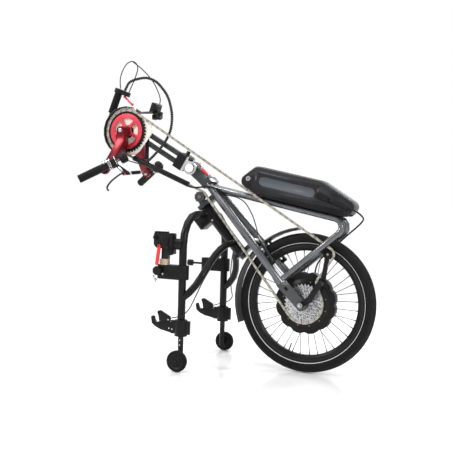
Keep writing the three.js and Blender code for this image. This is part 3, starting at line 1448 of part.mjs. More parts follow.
// Places on the top handle's slanted bar, by distance up from its foot
const handleLean = Math.atan2(topHandle.topZ - topHandle.baseZ, topHandle.topX - topHandle.baseX);
const handleLength = Math.hypot(topHandle.topZ - topHandle.baseZ, topHandle.topX - topHandle.baseX);
function handlePoint(up, across = 0) {
  return [
    topHandle.baseX + up * Math.cos(handleLean) + across * Math.sin(handleLean), topHandle.y,
    topHandle.baseZ + up * Math.sin(handleLean) - across * Math.cos(handleLean),
  ];
}

// Brake lever below the right grip
const leverPivot = [
  crank.pinX + brakeLever.pivotX, -gripCentreY + brakeLever.pivotY, crank.pinZ + brakeLever.pivotZ,
];
function makeLeverBlade() {
  const points = leverBladeShares.map(([back, down]) => [
    leverPivot[0] - back * brakeLever.reach, leverPivot[1] - back * brakeLever.lean,
    leverPivot[2] - down * brakeLever.drop,
  ]);
  const section = new THREE.Shape();
  const [halfWide, halfThick] = [brakeLever.bladeWidth / 2, brakeLever.bladeThickness / 2];
  section.moveTo(-halfWide, -halfThick);
  section.lineTo(halfWide, -halfThick);
  section.lineTo(halfWide, halfThick);
  section.lineTo(-halfWide, halfThick);
  section.closePath();
  return new THREE.ExtrudeGeometry(section, { extrudePath: smooth(points), steps: facets.lever });
}

function makeLeverBody() {
  const [x, y, z] = leverPivot;
  const start = [x + brakeLever.rootGap, y, z];
  const end = [x + brakeLever.bodyLength, y + brakeLever.bodyWidth, z + brakeLever.tailRise];
  const barrel = rod(start, end, brakeLever.bodyWidth);
  const foot = start.map((value, i) => value + brakeLever.armShare * (end[i] - value));
  const capMiddle = gripPoint(grip.gripLength + grip.collarLength + grip.capLength / 2);
  const arm = rod(foot, capMiddle, brakeLever.bodyWidth, facets.thin);
  return join(barrel, arm);
}

// Controls on the crank housing
function makeTopHandle() {
  const clampMiddle = handleLength + topHandle.clampHeight / 2;
  const bar = rod(handlePoint(0), handlePoint(handleLength), topHandle.diameter);
  const core = rod(handlePoint(handleLength / 2), handlePoint(clampMiddle), topHandle.postDiameter);
  const ring = rod(
    handlePoint(handleLength), handlePoint(handleLength + topHandle.clampHeight), topHandle.clampDiameter,
  );
  const lug = box(0, topHandle.lugLength, -topHandle.lugWidth / 2, topHandle.lugWidth / 2,
    -topHandle.clampHeight / 2, topHandle.clampHeight / 2)
    .rotateY(Math.PI / 2 - handleLean)
    .translate(...handlePoint(clampMiddle));
  return join(bar, core, ring, lug);
}

// The thumb lever turns on a pin just under the clamp's lug
function makeThumbLever() {
  const from = handlePoint(handleLength - seatGap - thumbLever.width / 2, thumbLever.pivotAcross);
  const to = [thumbLever.tipX, topHandle.y, thumbLever.tipZ];
  const bar = rod(from, to, thumbLever.width, facets.thin);
  const eye = at(
    disc(thumbLever.width, -thumbLever.width / 2, thumbLever.width / 2, facets.thin),
    from[0], topHandle.y, from[2],
  );
  const ball = new THREE.SphereGeometry(thumbLever.ballDiameter / 2, facets.rings + 1, facets.rings)
    .translate(...to);
  return join(bar, eye, ball);
}

function makeDisplay() {
  const body = box(
    -display.depth / 2, display.depth / 2, -display.width / 2, display.width / 2,
    -display.height / 2, display.height / 2,
  ).rotateY(display.tilt).translate(display.x, display.y, display.z);
  const mount = box(
    display.mountX - display.mountLength / 2, display.mountX + display.mountLength / 2,
    guard.planeY + seatGap, display.y + display.mountWidth / 2,
    display.mountZ - display.mountHeight / 2, display.mountZ + display.mountHeight / 2,
  );
  return join(body, mount);
}

function makeQuickLever() {
  const [lowX, lowZ] = onHead(fork.topAlong - seatGap, frameHead.topForward);
  const highX = pivot.x + frameHead.barrelDiameter / 2 * barrelShares[0][0];
  const highZ = pivot.z + frameHead.barrelDiameter / 2 * barrelShares[0][1];
  const edge = Math.hypot(highX - lowX, highZ - lowZ);
  const [dx, dz] = [(lowX - highX) / edge, (lowZ - highZ) / edge];
  const half = quickLever.width / 2;
  const lift = half + seatGap;
  const place = (distance) => [highX + dx * distance - dz * lift, highZ + dz * distance + dx * lift];
  const shape = capsule(
    ...place(quickLever.start), half,
    ...place(quickLever.start + quickLever.leverLength), half * quickLever.tipShare,
  );
  const middle = -frameHead.width / 2 + quickLever.thickness / 2;
  return plate(shape, middle - quickLever.thickness / 2, middle + quickLever.thickness / 2);
}

// Chain tube round the lower run, with clips to the boom
function makeChainTube() {
  const run = runs[4];
  const share = (distance) => [
    run.leave[0] + (run.arrive[0] - run.leave[0]) * distance / run.length,
    chain.planeY,
    run.leave[1] + (run.arrive[1] - run.leave[1]) * distance / run.length,
  ];
  const start = share(chainTube.startGap);
  const end = share(run.length - chainTube.endGap);
  const tube = rod(start, end, chainTube.diameter, facets.tube + 2);
  const middle = share(run.length - chainTube.endGap - chainTube.clipWidth);
  const boomEnd = boomPoint(housing.blockStart - chainTube.clipWidth, 0, 0);
  const reachY = -boom.diameter / 2 - seatGap;
  const boomX = boomEnd[0];
  const clip = box(
    boomX - chainTube.clipWidth / 2, boomX + chainTube.clipWidth / 2,
    reachY - chainTube.clipThickness, reachY, middle[2], boomEnd[2],
  );
  const foot = box(
    boomX - chainTube.clipWidth / 2, boomX + chainTube.clipWidth / 2,
    chain.planeY, reachY, middle[2], middle[2] + chainTube.clipThickness,
  );
  const bore = rod(share(0), share(run.length), chainTube.boreDiameter, facets.tube + 2);
  return cut(join(tube, clip, foot), bore);
}

// Docking frame
const uprightPath = new BentPath([
  [upright.x, -upright.y, upright.bottomZ], [upright.x, -upright.y, upright.armZ],
  [upright.x, -head.blockWidth / 2 - seatGap, upright.armZ],
], upright.armRadius);

function uprightSolid(diameter) {
  return along(uprightPath, diameter, uprightPath.steps, facets.tube + 2);
}

function makeUpright() {
  const bore = rod(
    [upright.x, -upright.y, upright.bottomZ - cutOverrun], [upright.x, -upright.y, upright.boreTopZ],
    upright.boreDiameter, facets.tube + 2,
  );
  return cut(uprightSolid(upright.diameter), bore);
}

const braceFoot = { x: upright.x, y: upright.y, z: brace.footZ };
function braceCurve() {
  return smooth(bracePathShares.map(([forward, up, out]) => [
    braceFoot.x + forward * (brace.topX - braceFoot.x),
    -(brace.topY + out * (braceFoot.y - brace.topY)),
    braceFoot.z + up * (brace.topZ - braceFoot.z),
  ]));
}

function makeBrace() {
  const uprightRoom = rod(
    [upright.x, -upright.y, upright.bottomZ], [upright.x, -upright.y, upright.armZ],
    clearDiameter(upright.diameter, seatGap, facets.tube + 2), facets.tube + 2,
  );
  return cut(along(braceCurve(), brace.diameter, facets.brace, facets.thin), uprightRoom);
}

function makeHook() {
  const points = fromShares(hookOutlineShares, hook.backX, upright.x, hook.bottomZ, hook.topZ);
  const half = hook.plateThickness / 2;
  const arm = plate(outline(points), -upright.y - half, -upright.y + half);
  const wing = box(
    hook.backX + (upright.x - hook.backX) * hook.wingShare, hook.wingX, -upright.y - half, -upright.y + half,
    hook.collarBottomZ + half, hook.collarTopZ - half / 2,
  );
  const collar = rod(
    [upright.x, -upright.y, hook.collarBottomZ], [upright.x, -upright.y, hook.collarTopZ],
    hook.collarDiameter, facets.tube + 2,
  );
  const bore = rod(
    [upright.x, -upright.y, hook.collarBottomZ - cutOverrun],
    [upright.x, -upright.y, hook.collarTopZ + cutOverrun],
    clearDiameter(upright.diameter, seatGap, facets.tube + 2), facets.tube + 2,
  );
  const pin = rod(
    [latch.frontX, -upright.y - half, latch.bottomZ + latch.pinDiameter],
    [latch.frontX, -upright.y + half, latch.bottomZ + latch.pinDiameter], latch.pinDiameter, facets.thin,
  );
  return cut(join(arm, wing, collar), bore, pin);
}

function makeLatch() {
  const points = fromShares(latchOutlineShares, latch.backX, latch.frontX, latch.bottomZ, latch.topZ);
  const half = latch.thickness / 2;
  return plate(outline(points), -upright.y - half, -upright.y + half);
}

function makeClampBand() {
  const height = clampBand.topZ - clampBand.bottomZ;
  const shape = capsule(
    clampBand.endX, -upright.y, clampBand.endDiameter / 2, upright.x, -upright.y,
    clampBand.collarDiameter / 2, facets.bend + 2,
  );
  shape.holes.push(roundHole(
    clearDiameter(upright.diameter, seatGap, facets.tube + 2), upright.x, -upright.y, facets.tube + 2,
  ));
  return new THREE.ExtrudeGeometry(shape, { depth: height, bevelEnabled: false })
    .translate(0, 0, clampBand.bottomZ);
}

function makeKnob() {
  const frontShare = (knob.x + knob.diameter / 2 - clampBand.endX) / (upright.x - clampBand.endX);
  const half = (clampBand.endDiameter + (clampBand.collarDiameter - clampBand.endDiameter) * frontShare) / 2;
  const face = upright.y + half + seatGap;
  const points = Array.from({ length: knob.lobes * 2 }, (_, i) => {
    const angle = i / (knob.lobes * 2) * 2 * Math.PI;
    const radius = knob.diameter / 2 - (i % 2 === 0 ? knob.lobeDepth : 0);
    return [knob.x + radius * Math.cos(angle), knob.z + radius * Math.sin(angle)];
  });
  return plate(outline(points), -face - knob.width, -face);
}

// The far band's screw, its knob standing behind the band
function makeFarKnob() {
  const start = clampBand.endX - clampBand.endDiameter / 2 - seatGap;
  const end = start - farKnob.rodLength;
  return join(
    rod(
      [start, upright.y, farKnob.z], [end - farKnob.width / 2, upright.y, farKnob.z],
      farKnob.rodDiameter, facets.thin,
    ),
    rod([end, upright.y, farKnob.z], [end - farKnob.width, upright.y, farKnob.z], farKnob.diameter),
  );
}

const dockTopZ = dock.bodyBottomZ + dock.bodyHeight;
function makeDock() {
  const middle = -upright.y - dock.offsetY;
  const half = dock.width / 2;
  const chamfer = dock.width / 3;
  const shape = roundOutline([
    [dock.bodyBackX, dock.bodyBottomZ + chamfer], [dock.bodyBackX, dockTopZ],
    [dock.bodyFrontX, dockTopZ], [dock.bodyFrontX, dock.bossBottomZ],
    [dock.strutFrontX, dock.bodyBottomZ], [dock.bodyBackX + chamfer, dock.bodyBottomZ],
  ], chamfer / 2);
  const body = plate(shape, middle - half, middle + half, facets.corner + 1);
  const boss = rod(
    [dock.bodyFrontX - chamfer, -upright.y, (dock.bossBottomZ + dockTopZ) / 2],
    [upright.x, -upright.y, (dock.bossBottomZ + dockTopZ) / 2], dock.bossDiameter, facets.tube + 2,
  );
  const strut = box(
    dock.strutBackX, dock.strutFrontX, middle - dock.strutWidth / 2, middle + dock.strutWidth / 2,
    dock.padTopZ, dock.bodyBottomZ + chamfer,
  );
  const leverPin = rod(
    [dockLever.pivotX, middle - half - dockLever.thickness, dockLever.pivotZ],
    [dockLever.pivotX, middle, dockLever.pivotZ], dockLever.width / 2, facets.thin,
  );
  const uprightRoom = uprightSolid(clearDiameter(upright.diameter, seatGap, facets.tube + 2));
  return cut(join(body, boss, strut, leverPin, makeDockPad()), uprightRoom);
}

function makeDockPad() {
  const middle = -upright.y - dock.offsetY;
  const half = dock.strutWidth / 2;
  return box(
    dock.padBackX, dock.padFrontX, middle - half, middle + half,
    clampBand.topZ + seatGap, dock.padTopZ + seatGap,
  );
}

function makeDockLever() {
  const face = -upright.y - dock.offsetY - dock.width / 2 - seatGap;
  const half = dockLever.width / 2;
  const shape = capsule(dockLever.pivotX, dockLever.pivotZ, half, dockLever.tipX, dockLever.tipZ, half);
  shape.holes.push(roundHole(half + 2 * seatGap, dockLever.pivotX, dockLever.pivotZ, facets.thin));
  return plate(shape, face - dockLever.thickness, face);
}

// Telescoping leg with its row of holes and the wheel's axle
function makeLeg() {
  const tube = rod(
    [upright.x, -upright.y, floorZ + leg.bottomRise], [upright.x, -upright.y, leg.topZ],
    leg.diameter, facets.tube + 2,
  );
  const holes = Array.from({ length: leg.holes }, (_, i) => {
    const z = floorZ + leg.firstHoleRise + i * leg.holeSpacing;
    return rod(
      [upright.x, -upright.y - leg.diameter, z], [upright.x, -upright.y + leg.diameter, z],
      leg.holeDiameter, facets.thin - 2,
    );
  });
  const axleZ = floorZ + caster.diameter / 2;
  const outerY = upright.y + caster.offsetY + caster.width / 2 + caster.axleDiameter / 2;
  const axleRod = rod(
    [upright.x, -upright.y, axleZ], [upright.x, -outerY, axleZ], caster.axleDiameter, facets.thin,
  );
  return join(cut(tube, ...holes), axleRod);
}

function makeCaster() {
  const radius = caster.diameter / 2;
  const half = caster.width / 2;
  const bore = caster.boreDiameter / 2;
  const hub = caster.hubDiameter / 2;
  const rounded = casterProfileShares.map(([out, along]) => [radius * out, half * along]);
  const backY = rounded[rounded.length - 1][1];
  const profile = [
    [bore, -half], [hub, -half], [hub, rounded[0][1]], ...rounded, [bore, backY], [bore, -half],
  ];
  return at(
    turned(profile, facets.small - 2), upright.x, -upright.y - caster.offsetY, floorZ + radius,
  );
}

function inRoom(shares, room) {
  return shares.map(([x, y, z]) => [
    room.lowX + x * (room.highX - room.lowX), room.lowY + y * (room.highY - room.lowY),
    room.lowZ + z * (room.highZ - room.lowZ),
  ]);
}

function cableAlong(route, diameter, steps) {
  return along(smooth(route), diameter, steps, cable.sides);
}

function makeBatteryLead() {
  const [footX, footZ] = batteryPlace(battery.caseLength, 0);
  const { plug, stay, axle: nut } = rooms;
  const atPlug = inRoom(leadPlugShares, {
    ...plug, lowX: footX - plug.back, highX: footX + plug.forward,
    lowZ: footZ - plug.fall, highZ: footZ + plug.rise,
  });
  const { cornerX, cornerZ, endX, endZ } = stayEnds();
  const stayLength = Math.hypot(endX - cornerX, endZ - cornerZ);
  const [dx, dz] = [(endX - cornerX) / stayLength, (endZ - cornerZ) / stayLength];
  const alongStay = leadStayShares.map(([down, out, below]) => [
    cornerX + down * (endX - cornerX) - dz * below * stay.drop,
    stay.lowY + out * (stay.highY - stay.lowY),
    cornerZ + down * (endZ - cornerZ) + dx * below * stay.drop,
  ]);
  const atAxle = inRoom(leadAxleShares, {
    ...nut, lowX: wheelX, highX: wheelX, lowZ: wheelZ, highZ: wheelZ + nut.rise,
  });
  return cableAlong([...atPlug, ...alongStay, ...atAxle], cable.leadDiameter, facets.lever);
}

// A wrapped hose: ribs along a core with a bore, its two ends flat
function makeHose() {
  const curve = smooth(inRoom(hoseRouteShares, rooms.hose));
  const rings = [];
  const total = curve.getLength();
  const lead = hose.coreDiameter / total;
  rings.push([0, hose.coreDiameter / 2]);
  for (let i = 0; i < hose.ribs; i += 1) {
    const start = lead + (1 - 2 * lead) * i / hose.ribs;
    const end = lead + (1 - 2 * lead) * (i + 0.5) / hose.ribs;
    rings.push([start, hose.coreDiameter / 2], [end, hose.ribDiameter / 2]);
  }
  rings.push([1 - lead, hose.coreDiameter / 2], [1, hose.coreDiameter / 2]);
  const inner = [];
  for (let i = rings.length - 1; i >= 0; i -= facets.boreSkip) {
    inner.push([rings[i][0], hose.boreDiameter / 2]);
  }
  if (inner[inner.length - 1][0] > 0) inner.push([0, hose.boreDiameter / 2]);
  const loops = [...rings, ...inner];
  const sides = cable.sides;
  const frames = curve.computeFrenetFrames(facets.hoseTurns, false);
  const positions = [];
  for (const [share, radius] of loops) {
    const centre = curve.getPointAt(share);
    const k = Math.round(share * facets.hoseTurns);
    for (let j = 0; j < sides; j += 1) {
      const angle = j / sides * 2 * Math.PI;
      const point = centre.clone()
        .addScaledVector(frames.normals[k], radius * Math.cos(angle))
        .addScaledVector(frames.binormals[k], radius * Math.sin(angle));
      positions.push(...point.toArray());
    }
  }
  const index = [];
  loops.forEach((_, i) => {
    const next = (i + 1) % loops.length;
    for (let j = 0; j < sides; j += 1) {
      const [a, b] = [i * sides + j, i * sides + (j + 1) % sides];
      const [c, d] = [next * sides + j, next * sides + (j + 1) % sides];
      index.push(a, c, b, b, c, d);
    }
  });
  const geometry = new THREE.BufferGeometry();
  geometry.setAttribute('position', new THREE.Float32BufferAttribute(positions, 3));
  geometry.setIndex(index);
  return geometry;
}

// The object
const handcycle = new THREE.Group();
handcycle.name = 'handcycle';

function add(name, geometry, look) {
  const mesh = new THREE.Mesh(closed(geometry), paint(...look));
  mesh.name = name;
  handcycle.add(mesh);
  return mesh;
}

// Adds a piece on the rider's right and its mirror image on the left
function addPair(name, geometry, look) {
  add(`${name}_right`, geometry, look);
  add(`${name}_left`, mirrored(geometry), look);
}

addPair('upright', makeUpright(), finish.blackTube);
add('head_tube', makeHeadTube(), finish.blackTube);
addPair('hook_bracket', makeHook(), finish.blackMetal);
addPair('latch', makeLatch(), finish.blackPlastic);
addPair('clamp_band', makeClampBand(), finish.blackPlastic);
add('clamp_knob_right', makeKnob(), finish.blackPlastic);
add('clamp_knob_left', makeFarKnob(), finish.blackPlastic);
add('dock_mechanism', makeDock(), finish.blackPlastic);
add('dock_lever', makeDockLever(), finish.brightRed);
addPair('leg', makeLeg(), finish.blackTube);
addPair('caster', makeCaster(), finish.blackRubber);
addPair('latch_cable', cableAlong(
  inRoom(latchCableShares, rooms.latch), cable.diameter, facets.brace,
), finish.blackPlastic);

add('steerer', makeSteerer(), finish.blackMetal);
add('frame_head', makeFrameHead(), finish.anthracite);
addPair('fork_blade', makeBlade(), finish.anthracite);
addPair('rail', makeRail(), finish.anthracite);
add('battery_case', makeBatteryCase(), finish.batteryBlack);
add('battery_spine', makeBatterySpine(), finish.grey);
add('battery_lead', makeBatteryLead(), finish.blackPlastic);
add('brake_cable', cableAlong(
  inRoom(brakeCableShares, { ...rooms.brake, highX: armTopX, lowZ: armTopZ }),
  cable.diameter, facets.thin,
), finish.blackPlastic);
add('fender', makeFender(), finish.blackPlastic);
addPair('brake_arm', makeBrakeArm(), finish.blackMetal);
add('idler_pulley', makeIdler(), finish.grey);
add('quick_lever', makeQuickLever(), finish.brightRed);
add('wheel_axle', at(makeAxle(), wheelCentre.x, 0, wheelCentre.z), finish.silver);
add('derailleur_body', makeDerailleur(), finish.blackMetal);
add('derailleur_cage', makeCage(), finish.blackMetal);
add('guide_pulley', makePulley(guide.x, guide.z, routeCircles[2]), finish.blackPlastic);
add('tension_pulley', makePulley(tension.x, tension.z, routeCircles[1]), finish.blackPlastic);

add('tyre', at(makeTyre(), wheelCentre.x, 0, wheelCentre.z), finish.blackRubber);
add('rim', at(makeRimWithSpokes(), wheelCentre.x, 0, wheelCentre.z), finish.blackMetal);
add('hub_motor', at(makeMotor(), wheelCentre.x, 0, wheelCentre.z), finish.blackMetal);
add('cassette', at(makeCassette(), wheelCentre.x, 0, wheelCentre.z), finish.silver);
add('chain', makeChain(), finish.steel);

add('boom_clamp', makeBoomClamp(), finish.silver);
add('boom', makeBoom(), finish.anthracite);
add('chain_guard', makeGuard(), finish.cream);
add('chain_tube', makeChainTube(), finish.blackPlastic);
add('display', makeDisplay(), finish.blackPlastic);
add('top_handle', makeTopHandle(), finish.blackRubber);
add('thumb_lever', makeThumbLever(), finish.brightRed);

add('chainring', makeChainring(), finish.blackMetal);
add('crank_right', makeRightCrank(), finish.red);
add('crank_left', makeLeftCrank(), finish.red);
add('handle_right', join(makeHandle(), makeLeverBody()), finish.blackRubber);
add('handle_left', mirrored(makeHandle()), finish.blackRubber);
add('brake_lever', makeLeverBlade(), finish.blackMetal);
add('hose', makeHose(), finish.blackPlastic);
add('control_cables', join(
  cableAlong(inRoom(thumbCableShares, rooms.thumb), cable.diameter, facets.fender),
  cableAlong(inRoom(displayCableShares, rooms.display), cable.diameter, facets.rings + 1),
), finish.blackPlastic);
add('grip_cables', join(
  cableAlong(inRoom(gripCableShares, rooms.grip), cable.diameter, facets.brace),
  cableAlong(inRoom(leverCableShares, rooms.lever), cable.diameter, facets.brace),
), finish.blackPlastic);

// The origin is the middle of the whole thing's footprint, on the floor
const bounds = new THREE.Box3().setFromObject(handcycle);
const middle = bounds.getCenter(new THREE.Vector3());
handcycle.position.set(-middle.x, -middle.y, -bounds.min.z);
handcycle.updateMatrixWorld(true);

export default handcycle;
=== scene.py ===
import json
from contextlib import contextmanager
from math import asin, atan2, cos, degrees, dist, hypot, pi, radians, sin

import bpy
from mathutils import Matrix, Vector


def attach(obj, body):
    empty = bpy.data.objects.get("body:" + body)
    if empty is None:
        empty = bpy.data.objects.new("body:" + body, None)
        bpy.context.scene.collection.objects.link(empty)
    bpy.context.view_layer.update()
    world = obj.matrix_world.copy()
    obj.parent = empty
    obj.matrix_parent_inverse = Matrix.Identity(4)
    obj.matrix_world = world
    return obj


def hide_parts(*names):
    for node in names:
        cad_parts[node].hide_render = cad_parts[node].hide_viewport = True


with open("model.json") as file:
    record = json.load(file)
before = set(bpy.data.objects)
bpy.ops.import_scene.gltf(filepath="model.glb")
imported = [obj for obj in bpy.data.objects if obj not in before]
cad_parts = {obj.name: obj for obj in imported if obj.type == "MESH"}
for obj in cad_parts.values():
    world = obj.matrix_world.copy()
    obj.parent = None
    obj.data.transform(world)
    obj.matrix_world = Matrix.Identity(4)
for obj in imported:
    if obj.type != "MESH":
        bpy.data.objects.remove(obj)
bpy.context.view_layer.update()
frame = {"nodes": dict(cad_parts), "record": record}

bodyOf = {node: body for body, nodes in frame["record"]["behaviour"]["bodies"].items() for node in nodes}
print("frame loaded:", len(bodyOf), "nodes")

wheelShift = 287.7775  # the drawing counts x from the wheel's axle, in millimetres
bothSides = (("right", -1), ("left", 1))
crankHub = (-726, 0, 860)


def place(x, y, z):  # a point of the drawing, in the frame's metres
    return Vector(((x + wheelShift) / 1000, y / 1000, z / 1000))


def onRound(centre, radius, angle, y=0):  # a point of a circle across the y direction
    return centre[0] + radius * cos(angle), y, centre[-1] + radius * sin(angle)


def newPiece(name, data):
    piece = bpy.data.objects.new(name, data)
    bpy.context.scene.collection.objects.link(piece)
    return piece


# Camera at the photograph's angle
camera = {"spot": (760.42, -2698.53, 621.69), "turn": 21.807, "down": 2.173, "roll": 1.676, "lens": 62.33}


def makeCamera():
    turn, down, roll = (radians(camera[key]) for key in ("turn", "down", "roll"))
    ahead = Vector((-sin(turn) * cos(down), cos(turn) * cos(down), -sin(down)))
    right = Vector((cos(turn), sin(turn), 0))
    up = right.cross(ahead)
    wide = right * cos(roll) + up * sin(roll)
    high = up * cos(roll) - right * sin(roll)
    bpy.ops.object.camera_add()
    eye = bpy.context.object
    eye.name = "photoCamera"
    eye.data.lens = camera["lens"]
    turned = Matrix((wide, high, -ahead)).transposed().to_4x4()
    eye.matrix_world = Matrix.Translation(place(*camera["spot"])) @ turned
    bpy.context.scene.camera = eye


makeCamera()


# Finishes: sums on a reading add Math nodes
class Reading:
    def __init__(self, finish, socket):
        self.finish, self.socket = finish, socket

    def maths(self, operation, *values):
        return self.finish.add("ShaderNodeMath", {"operation": operation}, values)

    def __rsub__(self, other):
        return self.maths("SUBTRACT", other, self)

    def __abs__(self):
        return self.maths("ABSOLUTE", self)

    def wave(self):
        return self.maths("SINE", self)

    def over(self, edge, soft=0.3):  # 0 below the edge, 1 above it
        return self.finish.add(
            "ShaderNodeMapRange", {"interpolation_type": "SMOOTHSTEP"},
            {"Value": self, "From Min": edge - soft, "From Max": edge + soft},
        )

    def under(self, edge, soft=0.3):
        return 1 - self.over(edge, soft)

    def between(self, low, high, soft=0.3):
        return self.over(low, soft) * self.under(high, soft)


operations = {"add": "ADD", "sub": "SUBTRACT", "mul": "MULTIPLY", "truediv": "DIVIDE", "pow": "POWER"}
for word, operation in operations.items():
    setattr(Reading, "__%s__" % word, lambda self, other, kind=operation: self.maths(kind, self, other))


class Finish:
    def __init__(self, name, look):
        self.material = bpy.data.materials.new(name)
        self.material.use_nodes = True
        self.tree = self.material.node_tree
        self.shader = self.tree.nodes["Principled BSDF"]
        coat = look.get("coat", (0, 0.03))
        self.feed(self.shader, {"Specular IOR Level": look.get("specular", 0.5), "Coat Weight": coat[0],
                                "Coat Roughness": coat[1]})
        self.spot = self.add("ShaderNodeTexCoord", out="Object")
        across = self.add("ShaderNodeSeparateXYZ", values=[self.spot], out=None)
        self.x, self.y, self.z = (Reading(self, across.outputs[i]) * 1000 for i in range(3))
        self.x = self.x - wheelShift
        cloud = self.noise(45)
        fleck = self.noise(look.get("fleck", 1.5), 4)
        first, second, *flake = look["tones"]
        self.colour = self.blend(cloud.between(0.42, 0.9, 0.2), first, second)
        self.colour = self.blend(fleck.over(0.62, 0.12) * 0.5, self.colour, flake[0] if flake else second)
        low, high = look["rough"]
        self.rough = cloud * (high - low) * 0.6 + fleck * (high - low) * 0.4 + low
        self.metal = look.get("metal", 0.0)
        grain, depth = look["grain"]
        self.height = self.noise(grain, 5) * depth

    def add(self, kind, settings=None, values=(), out=0):
        node = self.tree.nodes.new(kind)
        for key, value in (settings or {}).items():
            setattr(node, key, value)
        self.feed(node, values)
        return node if out is None else Reading(self, node.outputs[out])

    def feed(self, node, values):  # links readings and sets plain values
        for key, value in values.items() if isinstance(values, dict) else enumerate(values):
            if isinstance(value, Reading):
                self.tree.links.new(value.socket, node.inputs[key])
            else:
                node.inputs[key].default_value = value

    def noise(self, size, detail=3, stretch=None):  # size in millimetres
        spot = self.spot
        if stretch:
            spot = self.add("ShaderNodeMapping", values={"Vector": spot, "Scale": stretch})
        return self.add("ShaderNodeTexNoise", values={"Vector": spot, "Scale": 1000 / size, "Detail": detail})

    def blend(self, share, first, second):
        return self.add("ShaderNodeMix", {"data_type": "RGBA"}, {0: share, 6: rgb(first), 7: rgb(second)}, out=2)

    def patch(self, mask, colour=None, rough=None, metal=None):  # another finish where the mask is 1
        if colour is not None:
            self.colour = self.blend(mask, self.colour, colour)
        if rough is not None:
            self.rough = self.rough * (1 - mask) + mask * rough
        if metal is not None:
            self.metal = mask * (metal - self.metal) + self.metal

    def ringed(self, x, y, z):  # distance from a line through a point, across the object
        across, up = self.x - x, self.z - z
        return (across * across + up * up) ** 0.5

    def along(self, start, end):  # distance along a line, in millimetres
        line = (Vector(end) - Vector(start)).normalized()
        return (self.x - start[0]) * line.x + (self.y - start[1]) * line.y + (self.z - start[2]) * line.z

    def close(self):
        bump = self.add("ShaderNodeBump", values={"Strength": 1.0, "Distance": 0.001, "Height": self.height})
        self.feed(self.shader, {"Base Color": self.colour, "Roughness": self.rough, "Metallic": self.metal,
                                "Normal": bump})
        return self.material


def rgb(colour):  # one number is a grey
    if isinstance(colour, Reading):
        return colour
    return (*(colour if isinstance(colour, tuple) else (colour,) * 3), 1.0)


